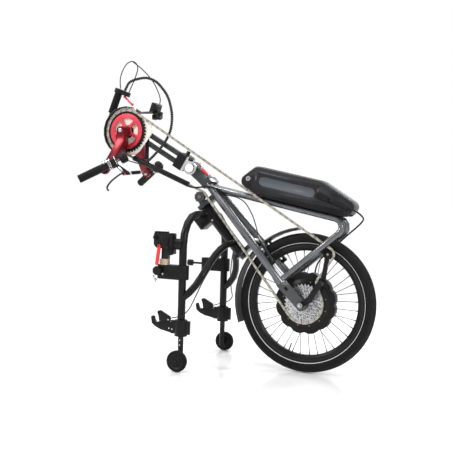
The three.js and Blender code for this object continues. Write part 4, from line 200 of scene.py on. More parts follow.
paints = {
    # tones: main, clouds, and flecks if they differ from the clouds; grain: size in millimetres, depth;
    # coat: weight, roughness
    "anthracite": {"tones": ((0.03, 0.032, 0.035), (0.042, 0.044, 0.047), (0.09, 0.09, 0.1)), "fleck": 0.7,
                   "rough": (0.22, 0.34), "metal": 0.7, "coat": (0.15, 0.1), "grain": (2.5, 0.01)},
    "satinBlack": {"tones": ((0.004, 0.004, 0.005), (0.008, 0.008, 0.009), (0.02, 0.02, 0.022)),
                   "rough": (0.24, 0.36), "specular": 0.16, "grain": (1.8, 0.012)},
    "blackMetal": {"tones": ((0.006, 0.006, 0.007), (0.012, 0.012, 0.013), 0.04), "rough": (0.26, 0.4), "metal": 0.3,
                   "specular": 0.16, "grain": (0.9, 0.02)},
    "blackPlastic": {"tones": (0.004, 0.009, 0.016), "rough": (0.36, 0.54), "specular": 0.14, "grain": (0.7, 0.03)},
    "blackRubber": {"tones": (0.004, 0.008, 0.014), "rough": (0.55, 0.78), "specular": 0.12, "grain": (0.6, 0.05)},
    "greyPlastic": {"tones": ((0.025, 0.026, 0.028), (0.035, 0.035, 0.037)),
                    "rough": (0.38, 0.5), "specular": 0.35, "grain": (0.8, 0.03)},
    "silver": {"tones": ((0.42, 0.42, 0.43), (0.54, 0.54, 0.55), (0.28, 0.28, 0.29)), "fleck": 0.9,
               "rough": (0.18, 0.34), "metal": 0.95, "grain": (0.5, 0.01)},
    "darkSteel": {"tones": ((0.12, 0.12, 0.125), (0.2, 0.2, 0.21), 0.07), "rough": (0.25, 0.42), "metal": 0.9,
                  "grain": (0.5, 0.01)},
    "redAnodised": {"tones": ((0.11, 0.002, 0.006), (0.15, 0.004, 0.01), (0.24, 0.014, 0.022)), "fleck": 0.8,
                    "rough": (0.24, 0.38), "metal": 0.7, "grain": (0.6, 0.012)},
    "ringRed": {"tones": ((0.56, 0.022, 0.045), (0.66, 0.05, 0.075), (0.78, 0.14, 0.16)), "fleck": 0.8,
                "rough": (0.26, 0.4), "metal": 0.55, "grain": (0.6, 0.012)},
    "redPaint": {"tones": ((0.6, 0.006, 0.01), (0.7, 0.012, 0.016)), "rough": (0.28, 0.4),
                 "coat": (0.3, 0.15), "grain": (1.2, 0.015)},
    "cream": {"tones": ((0.74, 0.69, 0.6), (0.8, 0.76, 0.68), (0.64, 0.6, 0.52)), "rough": (0.36, 0.5),
              "grain": (1.0, 0.02)},
    "nickel": {"tones": ((0.36, 0.33, 0.275), (0.5, 0.465, 0.4), (0.16, 0.145, 0.12)), "fleck": 2.2,
               "rough": (0.22, 0.42), "metal": 0.85, "grain": (0.8, 0.02)},
    # painted shade: a darker copy of the nickel, for the inner plates and pins, which sit inside the outer plates
    "shadedNickel": {"tones": ((0.2, 0.185, 0.16), (0.28, 0.26, 0.22), (0.1, 0.09, 0.075)), "fleck": 2.0,
                   "rough": (0.3, 0.5), "metal": 0.8, "grain": (0.8, 0.02)},
    # painted highlight: the spine's lighter grey stands in for the light its top edge catches
    "spineHighlightGrey": {"tones": ((0.085, 0.088, 0.092), (0.105, 0.108, 0.112)),
                  "rough": (0.6, 0.7), "specular": 0.3, "grain": (0.8, 0.02)},
    "spokeSteel": {"tones": ((0.03, 0.03, 0.032), (0.05, 0.05, 0.053)), "rough": (0.3, 0.42),
                   "metal": 0.6, "grain": (0.6, 0.01)},
    # painted light: a lighter copy of the frame's anthracite paint, for the rails and fork blades
    "litStayGrey": {"tones": ((0.11, 0.114, 0.12), (0.145, 0.15, 0.157), (0.24, 0.245, 0.25)), "fleck": 0.8,
                 "rough": (0.22, 0.34), "metal": 0.85, "grain": (0.6, 0.012)},
    "whiteCap": {"tones": ((0.8, 0.8, 0.79), (0.86, 0.86, 0.85)), "rough": (0.25, 0.38),
                 "coat": (0.3, 0.03), "grain": (1.5, 0.01)},
    "charcoal": {"tones": ((0.008, 0.008, 0.009), (0.014, 0.014, 0.016), (0.024, 0.024, 0.026)), "fleck": 0.9,
                 "rough": (0.3, 0.42), "specular": 0.2, "grain": (0.6, 0.025)},
}


def startFinish(name, paint):
    return Finish(name, paints[paint])


plain = {name: startFinish(name, name).close() for name in paints}

print("finishes started")


# Cords: routes as in the drawing, smoothed through their points
def smoothCourse(points, steps=12):
    spots = [place(*point) for point in points]
    ends = [spots[0] * 2 - spots[1], *spots, spots[-1] * 2 - spots[-2]]
    course = []
    for before, start, end, after in zip(ends, ends[1:], ends[2:], ends[3:]):
        for step in range(steps):
            t = step / steps
            course.append(0.5 * (
                2 * start + (end - before) * t + (2 * before - 5 * start + 4 * end - after) * t * t
                + (3 * start - before - 3 * end + after) * t ** 3
            ))
    course.append(spots[-1])
    return course


def courseLength(course):
    return sum((b - a).length for a, b in zip(course, course[1:]))


def evenCourse(course, count):  # points a like distance apart
    gaps = [0.0]
    for a, b in zip(course, course[1:]):
        gaps.append(gaps[-1] + (b - a).length)
    spots, k = [], 0
    for i in range(count):
        want = gaps[-1] * i / (count - 1)
        while k < len(gaps) - 2 and gaps[k + 1] < want:
            k += 1
        share = (want - gaps[k]) / max(gaps[k + 1] - gaps[k], 1e-9)
        spots.append(course[k].lerp(course[k + 1], min(max(share, 0), 1)))
    return spots


def tubeMesh(name, course, radii, sides):  # a closed tube with a radius at each point
    normal = (course[1] - course[0]).orthogonal().normalized()
    corners, faces = [], []
    for i, spot in enumerate(course):
        ahead = (course[min(i + 1, len(course) - 1)] - course[max(i - 1, 0)]).normalized()
        normal = (normal - ahead * normal.dot(ahead)).normalized()
        other = ahead.cross(normal)
        for j in range(sides):
            angle = 2 * pi * j / sides
            corners.append(spot + (normal * cos(angle) + other * sin(angle)) * radii[i])
    for i in range(len(course) - 1):
        for j in range(sides):
            k = (j + 1) % sides
            faces.append((i * sides + j, i * sides + k, (i + 1) * sides + k, (i + 1) * sides + j))
    faces.append(tuple(reversed(range(sides))))
    faces.append(tuple((len(course) - 1) * sides + j for j in range(sides)))
    mesh = bpy.data.meshes.new(name)
    mesh.from_pydata([tuple(corner) for corner in corners], [], faces)
    mesh.update()
    along = mesh.attributes.new("along", "FLOAT", "POINT")
    far = 0.0
    for i, spot in enumerate(course):
        far += (spot - course[max(i - 1, 0)]).length * 1000
        for j in range(sides):
            along.data[i * sides + j].value = far
    return mesh


cords = {
    # name: node, width, points
    "thumbCable": ("control_cables", 4, [
        (-776, -8, 1029.2), (-778, -7, 1068), (-769, -4, 1101), (-752, -2, 1126), (-730, 0, 1134),
        (-712, 0, 1123), (-706, -1, 1104), (-714, -3, 1072), (-739, -6, 1013)]),
    "displayCable": ("control_cables", 4, [
        (-730, 0, 1134), (-692, 16, 1102), (-654, 26, 1060), (-630, 26, 1020), (-617, 22, 990),
        (-616, 18, 970.2)]),
    "hoseWrap": ("hose", 11.5, [
        (-757, -6, 1021), (-741, 2, 1054), (-705, 10, 1068), (-670, 14, 1070), (-634, 14, 1056),
        (-606, 12, 1031), (-583, 8, 1004), (-565, 2, 970), (-550, -8, 920), (-549, -20, 865),
        (-566, -36, 815), (-600, -48, 770), (-629.6, -49, 743.2)]),
    "gripCable": ("grip_cables", 4, [
        (-689.2, -171.6, 740.1), (-677, -164.5, 745), (-655, -148, 742), (-636, -118, 735), (-612, -84, 727),
        (-574, -62, 709), (-520, -51.7, 685), (-470, -51.5, 662), (-436, -50, 652), (-404, -45, 654),
        (-372, -42.4, 656), (-350, -40.5, 651), (-330, -36.4, 644)]),
    "leverCable": ("grip_cables", 4, [
        (-588.2, -176.8, 700.1), (-573, -172, 703), (-562, -150, 706), (-560, -110, 707), (-553, -72, 699),
        (-520, -53.4, 683), (-470, -53, 660), (-436, -51.5, 650), (-404, -46.4, 651.6), (-372, -43.6, 653.6),
        (-350, -41.6, 649), (-330, -37.2, 642)]),
    "batteryLead": ("battery_lead", 6, [
        (157, -51, 591), (172, -50, 586), (186, -42, 576), (193, -22, 566), (193, 2, 557), (184, 22, 545),
        (162, 33, 524), (130, 38.5, 496), (90, 49, 459), (55, 60, 427), (29, 69, 405), (10, 82, 376),
        (0, 98, 338), (0, 112, 300), (0, 117, 272), (0, 111, 255), (0, 97.4, 250)]),
    "brakeCable": ("brake_cable", 4, [
        (-330, -24, 630), (-300, -22, 624.3), (-268, -20, 617.6), (-240, -12, 598), (-214, -8, 556),
        (-201, -4, 520), (-192, -6, 492), (-183, -20, 478), (-168.4, -37.4, 466.3)]),
}
latchCourse = [(-295, -32.4, 435.4), (-322, -80, 388), (-346, -130, 322), (-360, -176, 258), (-367, -208, 222),
               (-386, -215, 202), (-410, -214, 192), (-428, -206, 187), (-442.6, -198, 182)]
for side, sign in bothSides:
    course = [(x, y * -sign, z) for x, y, z in latchCourse]
    cords["latchCable" + side.title()] = ("latch_cable_" + side, 4, course)
hoseRibs = {"pitch": 0.0072, "rises": (0, 0, 0.4, 1, 1, 0.4), "depth": 0.0017}


def makeCords():
    jacket = startFinish("cableJacket", "blackPlastic")
    jacket.patch(jacket.noise(9, 2).over(0.6, 0.1), colour=(0.03, 0.03, 0.032))
    jacket = jacket.close()
    wrap = startFinish("hoseWrapFinish", "blackPlastic")
    stripeHighlight = wrap.add("ShaderNodeAttribute", {"attribute_name": "along"}, out="Fac")
    stripeHighlight = stripeHighlight * (2 * pi / hoseRibs["pitch"] / 1000) + 2.2
    # lighter, glossier stripes in step with the ribs: a painted highlight on the wrap
    wrap.patch(stripeHighlight.wave().over(0.5, 0.4), colour=0.06, rough=0.3)
    wrap = wrap.close()
    for name, (node, wide, points) in cords.items():
        ribbed = name == "hoseWrap"
        diameter = wide / 1000
        course = smoothCourse(points)
        length = courseLength(course)
        rises = hoseRibs["rises"] if ribbed else (0,)
        count = int(length / hoseRibs["pitch"]) * len(rises) + 1 if ribbed else max(60, int(length / 0.006))
        course = evenCourse(course, count)
        radii = [diameter / 2 - hoseRibs["depth"] * rises[i % len(rises)] for i in range(count)]
        piece = newPiece(name, tubeMesh(name, course, radii, 14))
        piece.data.materials.append(wrap if ribbed else jacket)
        for face in piece.data.polygons:
            face.use_smooth = len(face.vertices) == 4
        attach(piece, bodyOf[node])
        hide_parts(node)
        courseLength(course)
        "stiff" if ribbed or wide == 4 else "medium"


makeCords()
print("cords made:", len(cords))


# Modelling helpers
def clearChoice():
    if bpy.context.object and bpy.context.object.mode != "OBJECT":
        bpy.ops.object.mode_set(mode="OBJECT")
    bpy.ops.object.select_all(action="DESELECT")


def choose(piece):
    clearChoice()
    piece.select_set(True)
    bpy.context.view_layer.objects.active = piece


@contextmanager
def editing(choice="SELECT"):  # edit mode, with all or nothing selected first
    bpy.ops.object.mode_set(mode="EDIT")
    if choice:
        bpy.ops.mesh.select_all(action=choice)
    yield
    bpy.ops.object.mode_set(mode="OBJECT")


def applyPlace(piece):
    choose(piece)
    bpy.ops.object.transform_apply(location=True, rotation=True, scale=True)


def bevelEdges(piece, width, segments=2, angle=40):
    bevel = piece.modifiers.new("edges", "BEVEL")
    bevel.width = width
    bevel.segments = segments
    bevel.limit_method = "ANGLE"
    bevel.angle_limit = radians(angle)
    choose(piece)
    bpy.ops.object.modifier_apply(modifier=bevel.name)


def paintPiece(piece, look):  # a finish, or the name of a plain one
    piece.data.materials.clear()
    piece.data.materials.append(plain[look] if isinstance(look, str) else look)


def settle(piece, name, body, look, replaced=(), smooth=40):
    applyPlace(piece)
    bpy.ops.object.shade_smooth_by_angle(angle=radians(smooth))
    piece.name = name
    piece.data.name = name
    if look:
        paintPiece(piece, look)
    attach(piece, body)
    if replaced:
        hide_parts(*replaced)


def mendMesh(piece, gap=0.00001):
    choose(piece)
    with editing():
        bpy.ops.mesh.remove_doubles(threshold=gap)
        bpy.ops.mesh.select_all(action="DESELECT")
        bpy.ops.mesh.select_loose()
        bpy.ops.mesh.delete(type="VERT")
        bpy.ops.mesh.select_all(action="SELECT")
        bpy.ops.mesh.normals_make_consistent(inside=False)


def spunPiece(profile, centre, steps):  # (radius, across) in millimetres, spun round the y direction
    clearChoice()
    bpy.ops.mesh.primitive_circle_add(vertices=len(profile), radius=0.05)
    piece = bpy.context.object
    for corner, (radius, across) in zip(piece.data.vertices, profile):
        corner.co = (radius / 1000, across / 1000, 0)
    with editing():
        bpy.ops.mesh.spin(steps=steps, angle=2 * pi, center=(0, 0, 0), axis=(0, 1, 0))
    mendMesh(piece)
    piece.location = place(*centre)
    return piece


def rodPiece(start, end, radius, endRadius=None, sides=24, bevel=0.0):
    start, end = place(*start), place(*end)
    line = end - start
    clearChoice()
    bpy.ops.mesh.primitive_cone_add(
        vertices=sides, radius1=radius / 1000, radius2=(endRadius or radius) / 1000, depth=line.length,
        location=(start + end) / 2, rotation=line.to_track_quat("Z", "Y").to_euler(),
    )
    piece = bpy.context.object
    if bevel:
        bevelEdges(piece, bevel / 1000)
    return piece


def slabPiece(middle, size, tilt=0, rounding=2.0, segments=3):  # tilt turns it in the drawing's plane
    clearChoice()
    bpy.ops.mesh.primitive_cube_add(size=1, location=place(*middle), rotation=(0, radians(tilt), 0),
                                    scale=tuple(side / 1000 for side in size))
    piece = bpy.context.object
    applyPlace(piece)
    bevelEdges(piece, rounding / 1000, segments)
    return piece


def joinPieces(pieces):
    clearChoice()
    for piece in pieces:
        piece.select_set(True)
    bpy.context.view_layer.objects.active = pieces[0]
    bpy.ops.object.join()
    return bpy.context.object


def selectFaces(piece, wanted):
    choose(piece)
    with editing("DESELECT"):
        pass
    for face in piece.data.polygons:
        face.select = wanted(face)


def dressNode(node, look, rounding):  # the node's own shape, its edges rounded
    piece = newPiece(node + "_shell", frame["nodes"][node].data.copy())
    mendMesh(piece, 0.00002)
    if node == "crank_right":  # its guard ring is made below, with rounded windows
        spider = {"front": -44.7, "hubRadius": 20.5}
        hub = place(*crankHub) * 1000
        selectFaces(piece, lambda face: face.center.y * 1000 > spider["front"] and hypot(
            face.center.x * 1000 - hub.x, face.center.z * 1000 - hub.z) > spider["hubRadius"])
        with editing(None):
            bpy.ops.mesh.delete(type="FACE")
    if node == "battery_spine":  # a hair outside the case where their faces meet
        for corner in piece.data.vertices:
            corner.co += corner.normal * 0.0004
    if node == "chain_guard":  # its tail ends at a slanted edge
        with editing():
            bpy.ops.mesh.bisect(plane_co=place(-622, 0, 849), plane_no=(0.80, 0, -0.60), clear_outer=True,
                                use_fill=True)
    if rounding:
        with editing():
            bpy.ops.mesh.dissolve_limited(angle_limit=radians(0.8))
        bevelEdges(piece, rounding / 1000, 2, 50)
    settle(piece, node + "_shell", bodyOf[node], look, (node,), 48)


# Finishes with patches, for nodes that hold several parts
bright = {"colour": (0.5, 0.5, 0.51), "rough": 0.28, "metal": 0.9}
axleGrey = {"colour": 0.5, "rough": 0.3}
boltGrey = {"colour": (0.6, 0.6, 0.61), "rough": 0.24, "metal": 0.95}
plasticSheen = {"colour": (0.010, 0.010, 0.011), "rough": 0.36}
grip = {"foot": (-809, -238, 668), "line": Vector((77.3, 42.9, 46.5)).normalized()}
battery = {"foot": (-258, 642), "slope": radians(-11.5), "stripe": (66, 286, 37, 73), "plug": (282, 424),
           "lock": (29.1, 53, 8.8)}


def handleFinish(side):  # measured along the grip from its outer end
    finish = startFinish("handleFinish" + side.title(), "blackRubber")
    mirror = Vector((1, 1 if side == "right" else -1, 1))
    start = Vector(grip["foot"]) * mirror
    along = finish.along(start, start + grip["line"] * mirror)
    finish.height = finish.height + along.between(6, 82, 2) * (along * 1.25).wave() * 0.18
    finish.patch(along.over(88), **plasticSheen)
    finish.patch(along.between(121.5, 124.5), **bright)
    finish.patch(along.over(153, 0.5), colour=(0.006, 0.006, 0.007), rough=0.3)
    finish.patch(along.between(176, 181), **bright)
    return finish.close()


def crankFinish(side):  # the axle shows beside the arm, the bolt in its end
    finish = startFinish("crank%sFinish" % side.title(), "redAnodised")
    hub = finish.ringed(*crankHub)
    if side == "right":
        finish.patch(hub.under(12.2) * finish.y.between(-80, -36), **axleGrey)
        finish.patch(hub.under(7.4) * finish.y.under(-89.5), **boltGrey)
    else:
        finish.patch(hub.under(12.4) * finish.y.under(52), **axleGrey)
        finish.patch(hub.under(9) * finish.y.over(89), **boltGrey)
    return finish.close()


def guardFinish():
    finish = startFinish("chainGuardFinish", "cream")
    for edge in (finish.y.under(-35.4, 0.2), finish.z.over(926, 0.5) * finish.x.over(-690, 1)):
        finish.patch(edge, colour=0.009, rough=0.45)
    return finish.close()


def clampFinish():
    finish = startFinish("boomClampFinish", "satinBlack")
    ring = finish.ringed(-457, 0, 723)
    claw = finish.along((-457, 0, 723), (-543.6, 0, 773))
    finish.patch(claw.under(30, 0.6) * abs(finish.y).over(23.6, 0.2), colour=(0.50, 0.50, 0.51), rough=0.26, metal=0.9)
    cap = ring.under(18.3) * abs(finish.y).over(37.3, 0.15)
    finish.patch(cap, colour=(0.80, 0.80, 0.79), rough=0.3, metal=0.0)
    finish.patch(cap * ring.over(16.4), colour=(0.03, 0.03, 0.032), rough=0.4)
    return finish.close()


def batteryFinish():  # u runs along the case, v up from its foot
    finish = startFinish("batteryCaseFinish", "charcoal")
    across, up = finish.x - battery["foot"][0], finish.z - battery["foot"][1]
    slope = battery["slope"]
    u = across * cos(slope) + up * sin(slope)
    v = up * cos(slope) - across * sin(slope)
    near, far, low, high = battery["stripe"]
    stripe = abs(finish.y).between(40, 44.8, 0.15) * u.between(near, far, 0.4) * v.between(low, high, 0.4)
    finish.patch(stripe, colour=(0.085, 0.095, 0.108), rough=0.42)
    finish.patch(u.between(*battery["plug"], 0.5) * finish.y.under(-47.2, 0.1), colour=0.006, rough=0.5)
    lockU, lockV, radius = battery["lock"]
    lock = ((u - lockU) ** 2 + (v - lockV) ** 2) ** 0.5
    finish.patch(lock.under(radius) * finish.y.under(-46.7, 0.2), colour=0.004, rough=0.3)
    finish.patch(abs(finish.y).under(33, 0.2), colour=(0.02, 0.02, 0.022), rough=0.5)
    return finish.close()


def bladeFinish():
    # the blades take the lighter copy of the frame paint: painted light
    finish = startFinish("forkBladeFinish", "litStayGrey")
    end = finish.z.under(318, 1.5) * abs(finish.y).over(69.6, 0.1)
    finish.patch(end, colour=(0.060, 0.062, 0.065), rough=0.42, metal=0.4)
    return finish.close()


def dockFinish():
    finish = startFinish("dockFinish", "satinBlack")
    pad = finish.z.under(394.6, 0.2) * finish.x.between(-482, -450)
    finish.patch(pad, colour=(0.42, 0.35, 0.25), rough=0.65, metal=0.0)
    return finish.close()


def motorFinish():
    finish = startFinish("hubMotorFinish", "blackPlastic")
    ring = finish.ringed(0, 0, 250)
    finish.height = finish.height + (ring * 1.3).wave() * 0.03 * ring.under(86, 1)
    finish.patch(ring.under(88.4) * abs(finish.y).over(19), colour=(0.016, 0.016, 0.017), rough=0.34, metal=0.4)
    return finish.close()


def topHandleFinish():
    finish = startFinish("topHandleFinish", "blackRubber")
    up = finish.along((-812, -8, 934), (-783, -8, 1011))
    finish.height = finish.height + up.between(5, 77, 1) * (up * 1.4).wave() * 0.2
    finish.patch(up.over(82.4), **plasticSheen)
    return finish.close()


def leverFinish():
    finish = startFinish("brakeLeverFinish", "blackMetal")
    finish.patch(finish.x.between(-600, -595, 0.4), colour=(0.5, 0.5, 0.51), rough=0.26, metal=0.9)
    return finish.close()


def legFinish():
    finish = startFinish("legFinish", "satinBlack")
    worn = finish.noise(14, 3, (1, 1, 0.2)).over(0.62, 0.08) * finish.z.under(160, 20)
    finish.patch(worn, colour=(0.03, 0.03, 0.032), rough=0.5)
    return finish.close()


dressed = {
    # node: finish, rounding of its edges in millimetres
    "head_tube": ("satinBlack", 0.6), "steerer": ("anthracite", 0.5), "frame_head": ("anthracite", 0.8),
    "battery_case": (batteryFinish(), 0), "battery_spine": ("spineHighlightGrey", 0), "fender": ("satinBlack", 0.5),
    "idler_pulley": ("greyPlastic", 0.3), "quick_lever": ("redPaint", 1.2), "wheel_axle": ("silver", 0.5),
    "derailleur_body": ("blackMetal", 0.6), "derailleur_cage": ("blackMetal", 0.3),
    "guide_pulley": ("blackPlastic", 0), "tension_pulley": ("blackPlastic", 0), "hub_motor": (motorFinish(), 0.8),
    "boom_clamp": (clampFinish(), 1.0), "boom": ("anthracite", 0.8), "chain_guard": (guardFinish(), 0.4),
    "chain_tube": ("blackPlastic", 0.4), "top_handle": (topHandleFinish(), 1.0), "thumb_lever": ("redPaint", 0),
    "brake_lever": (leverFinish(), 0.8), "dock_mechanism": (dockFinish(), 1.2), "dock_lever": ("redPaint", 1.2),
    "clamp_knob_right": ("blackPlastic", 1.0), "clamp_knob_left": ("blackPlastic", 0.8),
}
pairs = {
    "upright": ("satinBlack", 0.5), "hook_bracket": ("satinBlack", 1.0), "latch": ("blackPlastic", 1.0),
    "clamp_band": ("blackPlastic", 1.2), "rail": ("litStayGrey", 0.4), "brake_arm": ("blackMetal", 0.8),
    "fork_blade": (bladeFinish(), 0.5), "leg": (legFinish(), 0.4),
}
for side, sign in bothSides:
    dressed.update({stem + "_" + side: look for stem, look in pairs.items()})
    dressed["crank_" + side] = (crankFinish(side), 1.0)
    dressed["handle_" + side] = (handleFinish(side), 1.6)

for node, look in dressed.items():
    dressNode(node, *look)
print("nodes dressed:", len(dressed))


# Wheel
def mirrored(profile):  # goes back on the other side of its last point
    return profile + [(radius, -across) for radius, across in reversed(profile[:-1])]


wheel = {
    "centre": (0, 0, 250), "spokes": 36, "spokeRadius": 1.25, "flangeY": 16, "rimY": 4, "hubRadius": 106,
    "rimRadius": 189, "lean": radians(3.2), "nippleShare": 0.17, "valveAngle": -1.9,
    "tyreProfile": mirrored([
        (202.6, -11), (205, -12.6), (209.6, -12.8), (213, -16.6), (218, -20.4), (224, -22.8), (231, -23),
        (238, -20.6), (243.6, -15.8), (247.4, -10), (249.3, -4.5), (250, 0)]),
    "rimProfile": [
        (209, -15), (209, -13.2), (203, -13), (200.6, -10), (197, -4), (197, 4), (200.6, 10), (203, 13),
        (209, 13.2), (209, 15), (199, 15), (191, 11.5), (187, 6.5), (187, -6.5), (191, -11.5), (199, -15)],
}


def tyreFinish():
    finish = startFinish("tyreFinish", "blackRubber")
    ring = finish.ringed(*wheel["centre"])
    angle = finish.add("ShaderNodeMath", {"operation": "ARCTAN2"}, [finish.z - 250, finish.x])
    tread = (angle * 150 + abs(finish.y) * 0.55).wave().over(0.55, 0.2) * abs(finish.y).between(4, 17, 0.6)
    centre = (angle * 75 + finish.y * 0.5).wave().over(0.6, 0.2) * abs(finish.y).under(3.4, 0.4)
    finish.height = finish.height - (tread + centre) * ring.over(236, 3) * 0.9
    side = ring.between(216, 232, 2)
    finish.height = finish.height + (ring * 2.4).wave() * side * 0.06
    line = ring.between(213.4, 215.6, 0.25) * abs(finish.y).over(12.8, 0.4)
    finish.patch(line, colour=(0.55, 0.56, 0.57), rough=0.4)
    finish.patch(ring.over(238, 5) * finish.noise(20, 3).over(0.45, 0.2), colour=0.018, rough=0.85)
    return finish.close()


def makeWheel():
    centre, hubRadius, rimRadius = wheel["centre"], wheel["hubRadius"], wheel["rimRadius"]
    tyre = spunPiece(wheel["tyreProfile"], centre, 160)
    settle(tyre, "tyreTreaded", "wheel", tyreFinish(), ("tyre",), 30)
    rim = spunPiece(wheel["rimProfile"], centre, 160)
    finish = startFinish("rimFinish", "blackMetal")
    finish.patch(finish.ringed(*centre).over(203, 0.6), colour=(0.018, 0.018, 0.019), rough=0.34)
    settle(rim, "rimHoop", "wheel", finish.close(), ("rim",), 35)
    spokes = []
    for i in range(wheel["spokes"]):
        side = -1 if i % 2 == 0 else 1
        angle = (i + 0.5) / wheel["spokes"] * 2 * pi
        lean = wheel["lean"] * (1 if i % 4 < 2 else -1)  # pairs of spokes lean towards each other
        hub = onRound(centre, hubRadius, angle + lean, side * wheel["flangeY"])
        end = onRound(centre, rimRadius, angle, side * wheel["rimY"])
        foot = Vector(end).lerp(Vector(hub), wheel["nippleShare"])
        spokes.append(rodPiece(hub, end, wheel["spokeRadius"], sides=8))
        spokes.append(rodPiece(end, foot, 2.3, endRadius=1.5, sides=8))
    settle(joinPieces(spokes), "spokes", "wheel", "spokeSteel")
    ends = (onRound(centre, radius, wheel["valveAngle"]) for radius in (187, 158))
    settle(rodPiece(*ends, 3, endRadius=2.2, bevel=0.6), "valve", "wheel", "darkSteel")


makeWheel()
print("wheel made")


# Chain drive
chain = {"pitch": 12.7, "planeY": -39, "plateHeight": 8.2, "plateThick": 1.1, "waist": 0.34, "outer": 3.7, "inner": 2.4,
         "roller": (3.8, 5), "pin": (1.7, 8.6)}
drive = {
    # x, z, teeth, way round
    "ring": (crankHub[0], crankHub[2], 40, -1), "tension": (82, 430, 11, -1), "guide": (66, 328, 11, 1),
    "cog": (0, 250, 34, -1), "idler": (-410, 617, 11, 1),
}


def pitchRadius(teeth):
    return teeth * chain["pitch"] / (2 * pi)


def chainPins():
    circles = [(x, z, pitchRadius(teeth), way) for x, z, teeth, way in drive.values()]
    runs = []
    for (ax, az, ar, aw), (bx, bz, br, bw) in zip(circles, circles[1:] + circles[:1]):
        offset = bw * br - aw * ar
        heading = atan2(bz - az, bx - ax) - asin(offset / hypot(bx - ax, bz - az))
        nx, nz = -sin(heading), cos(heading)
        runs.append(((ax - aw * ar * nx, az - aw * ar * nz), (bx - bw * br * nx, bz - bw * br * nz)))
    parts = []
    for i, (x, z, radius, way) in enumerate(circles):
        start, end = (atan2(spot[1] - z, spot[0] - x) for spot in (runs[i - 1][1], runs[i][0]))
        sweep = ((end - start) * way) % (2 * pi)
        parts.append(("turn", x, z, radius, way, start, sweep * radius))
        parts.append(("run", *runs[i], dist(*runs[i])))
    total = sum(part[-1] for part in parts)
    count = 2 * round(total / chain["pitch"] / 2)
    pins = []
    for i in range(count):
        rest = i * total / count
        for part in parts:
            if rest <= part[-1] or part is parts[-1]:
                break
            rest -= part[-1]
        if part[0] == "run":
            pins.append(tuple(Vector(part[1]).lerp(Vector(part[2]), rest / part[-1])))
        else:
            _, x, z, radius, way, start, _ = part
            pins.append(onRound((x, z), radius, start + way * rest / radius)[::2])
    return pins


def linkMaster(across, side):  # two side plates with waists and a roller at the first pin
    clearChoice()
    pitch, high, thick = chain["pitch"] / 1000, chain["plateHeight"] / 2000, chain["plateThick"] / 1000
    bpy.ops.mesh.primitive_circle_add(vertices=14, radius=1, fill_type="NGON")
    plate = bpy.context.object
    outline = [onRound((pitch, 0), high, radians(-72 + 24 * k)) for k in range(7)]
    outline += [onRound((0, 0), high, radians(108 + 24 * k)) for k in range(7)]
    for corner, (along, _, up) in zip(plate.data.vertices, outline):
        squeeze = chain["waist"] if 0.25 < along / pitch < 0.75 else 1
        corner.co = (along, -across / 1000, up * squeeze)
    with editing():
        bpy.ops.mesh.extrude_region_move(TRANSFORM_OT_translate={"value": (0, thick, 0)})
        bpy.ops.mesh.select_all(action="SELECT")
        bpy.ops.mesh.duplicate_move(TRANSFORM_OT_translate={"value": (0, 2 * across / 1000 - thick, 0)})
    parts = [plate]
    for radius, depth in (chain["roller"], chain["pin"]):
        bpy.ops.mesh.primitive_cylinder_add(vertices=8, radius=radius / 1000, depth=depth / 1000,
                                            rotation=(pi / 2, 0, 0))
        parts.append(bpy.context.object)
    for part, paint in zip(parts, (side, "blackMetal", "shadedNickel")):
        part.data.materials.append(plain[paint])
    link = joinPieces(parts)
    applyPlace(link)
    mendMesh(link)
    return link


def makeChain():
    pins = chainPins()
    # outer links in nickel, inner links in its darker copy: painted shade
    masters = [linkMaster(chain["outer"], "nickel"), linkMaster(chain["inner"], "shadedNickel")]
    links = []
    for i, (x, z) in enumerate(pins):
        nextX, nextZ = pins[(i + 1) % len(pins)]
        mesh = masters[i % 2].data.copy()
        turn = Matrix.Rotation(-atan2(nextZ - z, nextX - x), 4, "Y")
        mesh.transform(Matrix.Translation(place(x, chain["planeY"], z)) @ turn)
        links.append(newPiece("link", mesh))
    for master in masters:
        bpy.data.objects.remove(master)
    settle(joinPieces(links), "chainLinks", "fork", None, ("chain",), 35)
    return pins


def toothedRing(teeth, innerRadius, centre, thick, phase):
    radius = pitchRadius(teeth)
    rise = [-4.2, -3.9, -2.2, 0.8, 2.6, 2.6, 0.8, -2.2]  # over one tooth, from root to root
    count = teeth * len(rise)
    clearChoice()
    bpy.ops.mesh.primitive_circle_add(vertices=count, radius=1)
    piece = bpy.context.object
    for k, corner in enumerate(piece.data.vertices):
        reach = (radius + rise[k % len(rise)]) / 1000
        corner.co = onRound((0, 0), reach, phase + 2 * pi * k / count, -thick / 2000)
    with editing():
        bpy.ops.mesh.extrude_region_move()
    for corner in piece.data.vertices:
        if corner.select:
            flat = Vector((corner.co.x, 0, corner.co.z)).normalized() * innerRadius / 1000
            corner.co = (flat.x, corner.co.y, flat.z)
    with editing():
        bpy.ops.mesh.extrude_region_move(TRANSFORM_OT_translate={"value": (0, thick / 1000, 0)})
    mendMesh(piece)
    piece.location = place(*centre)
    return piece


def phaseAt(pins, x, z, radius):  # the roots stand at the pins
    for px, pz in pins:
        if abs(hypot(px - x, pz - z) - radius) < 0.05:
            return atan2(pz - z, px - x)
    return 0.0


cassette = {
    "teeth": [34, 30, 28, 25, 23, 20, 18, 16, 14], "spacing": 2.6, "first": -39, "thick": 1.7, "arms": 5,
    "sleeve": [(12.6, -61), (17, -61), (19.2, -59.5), (20, -40), (20, -38), (12.6, -38)],
}


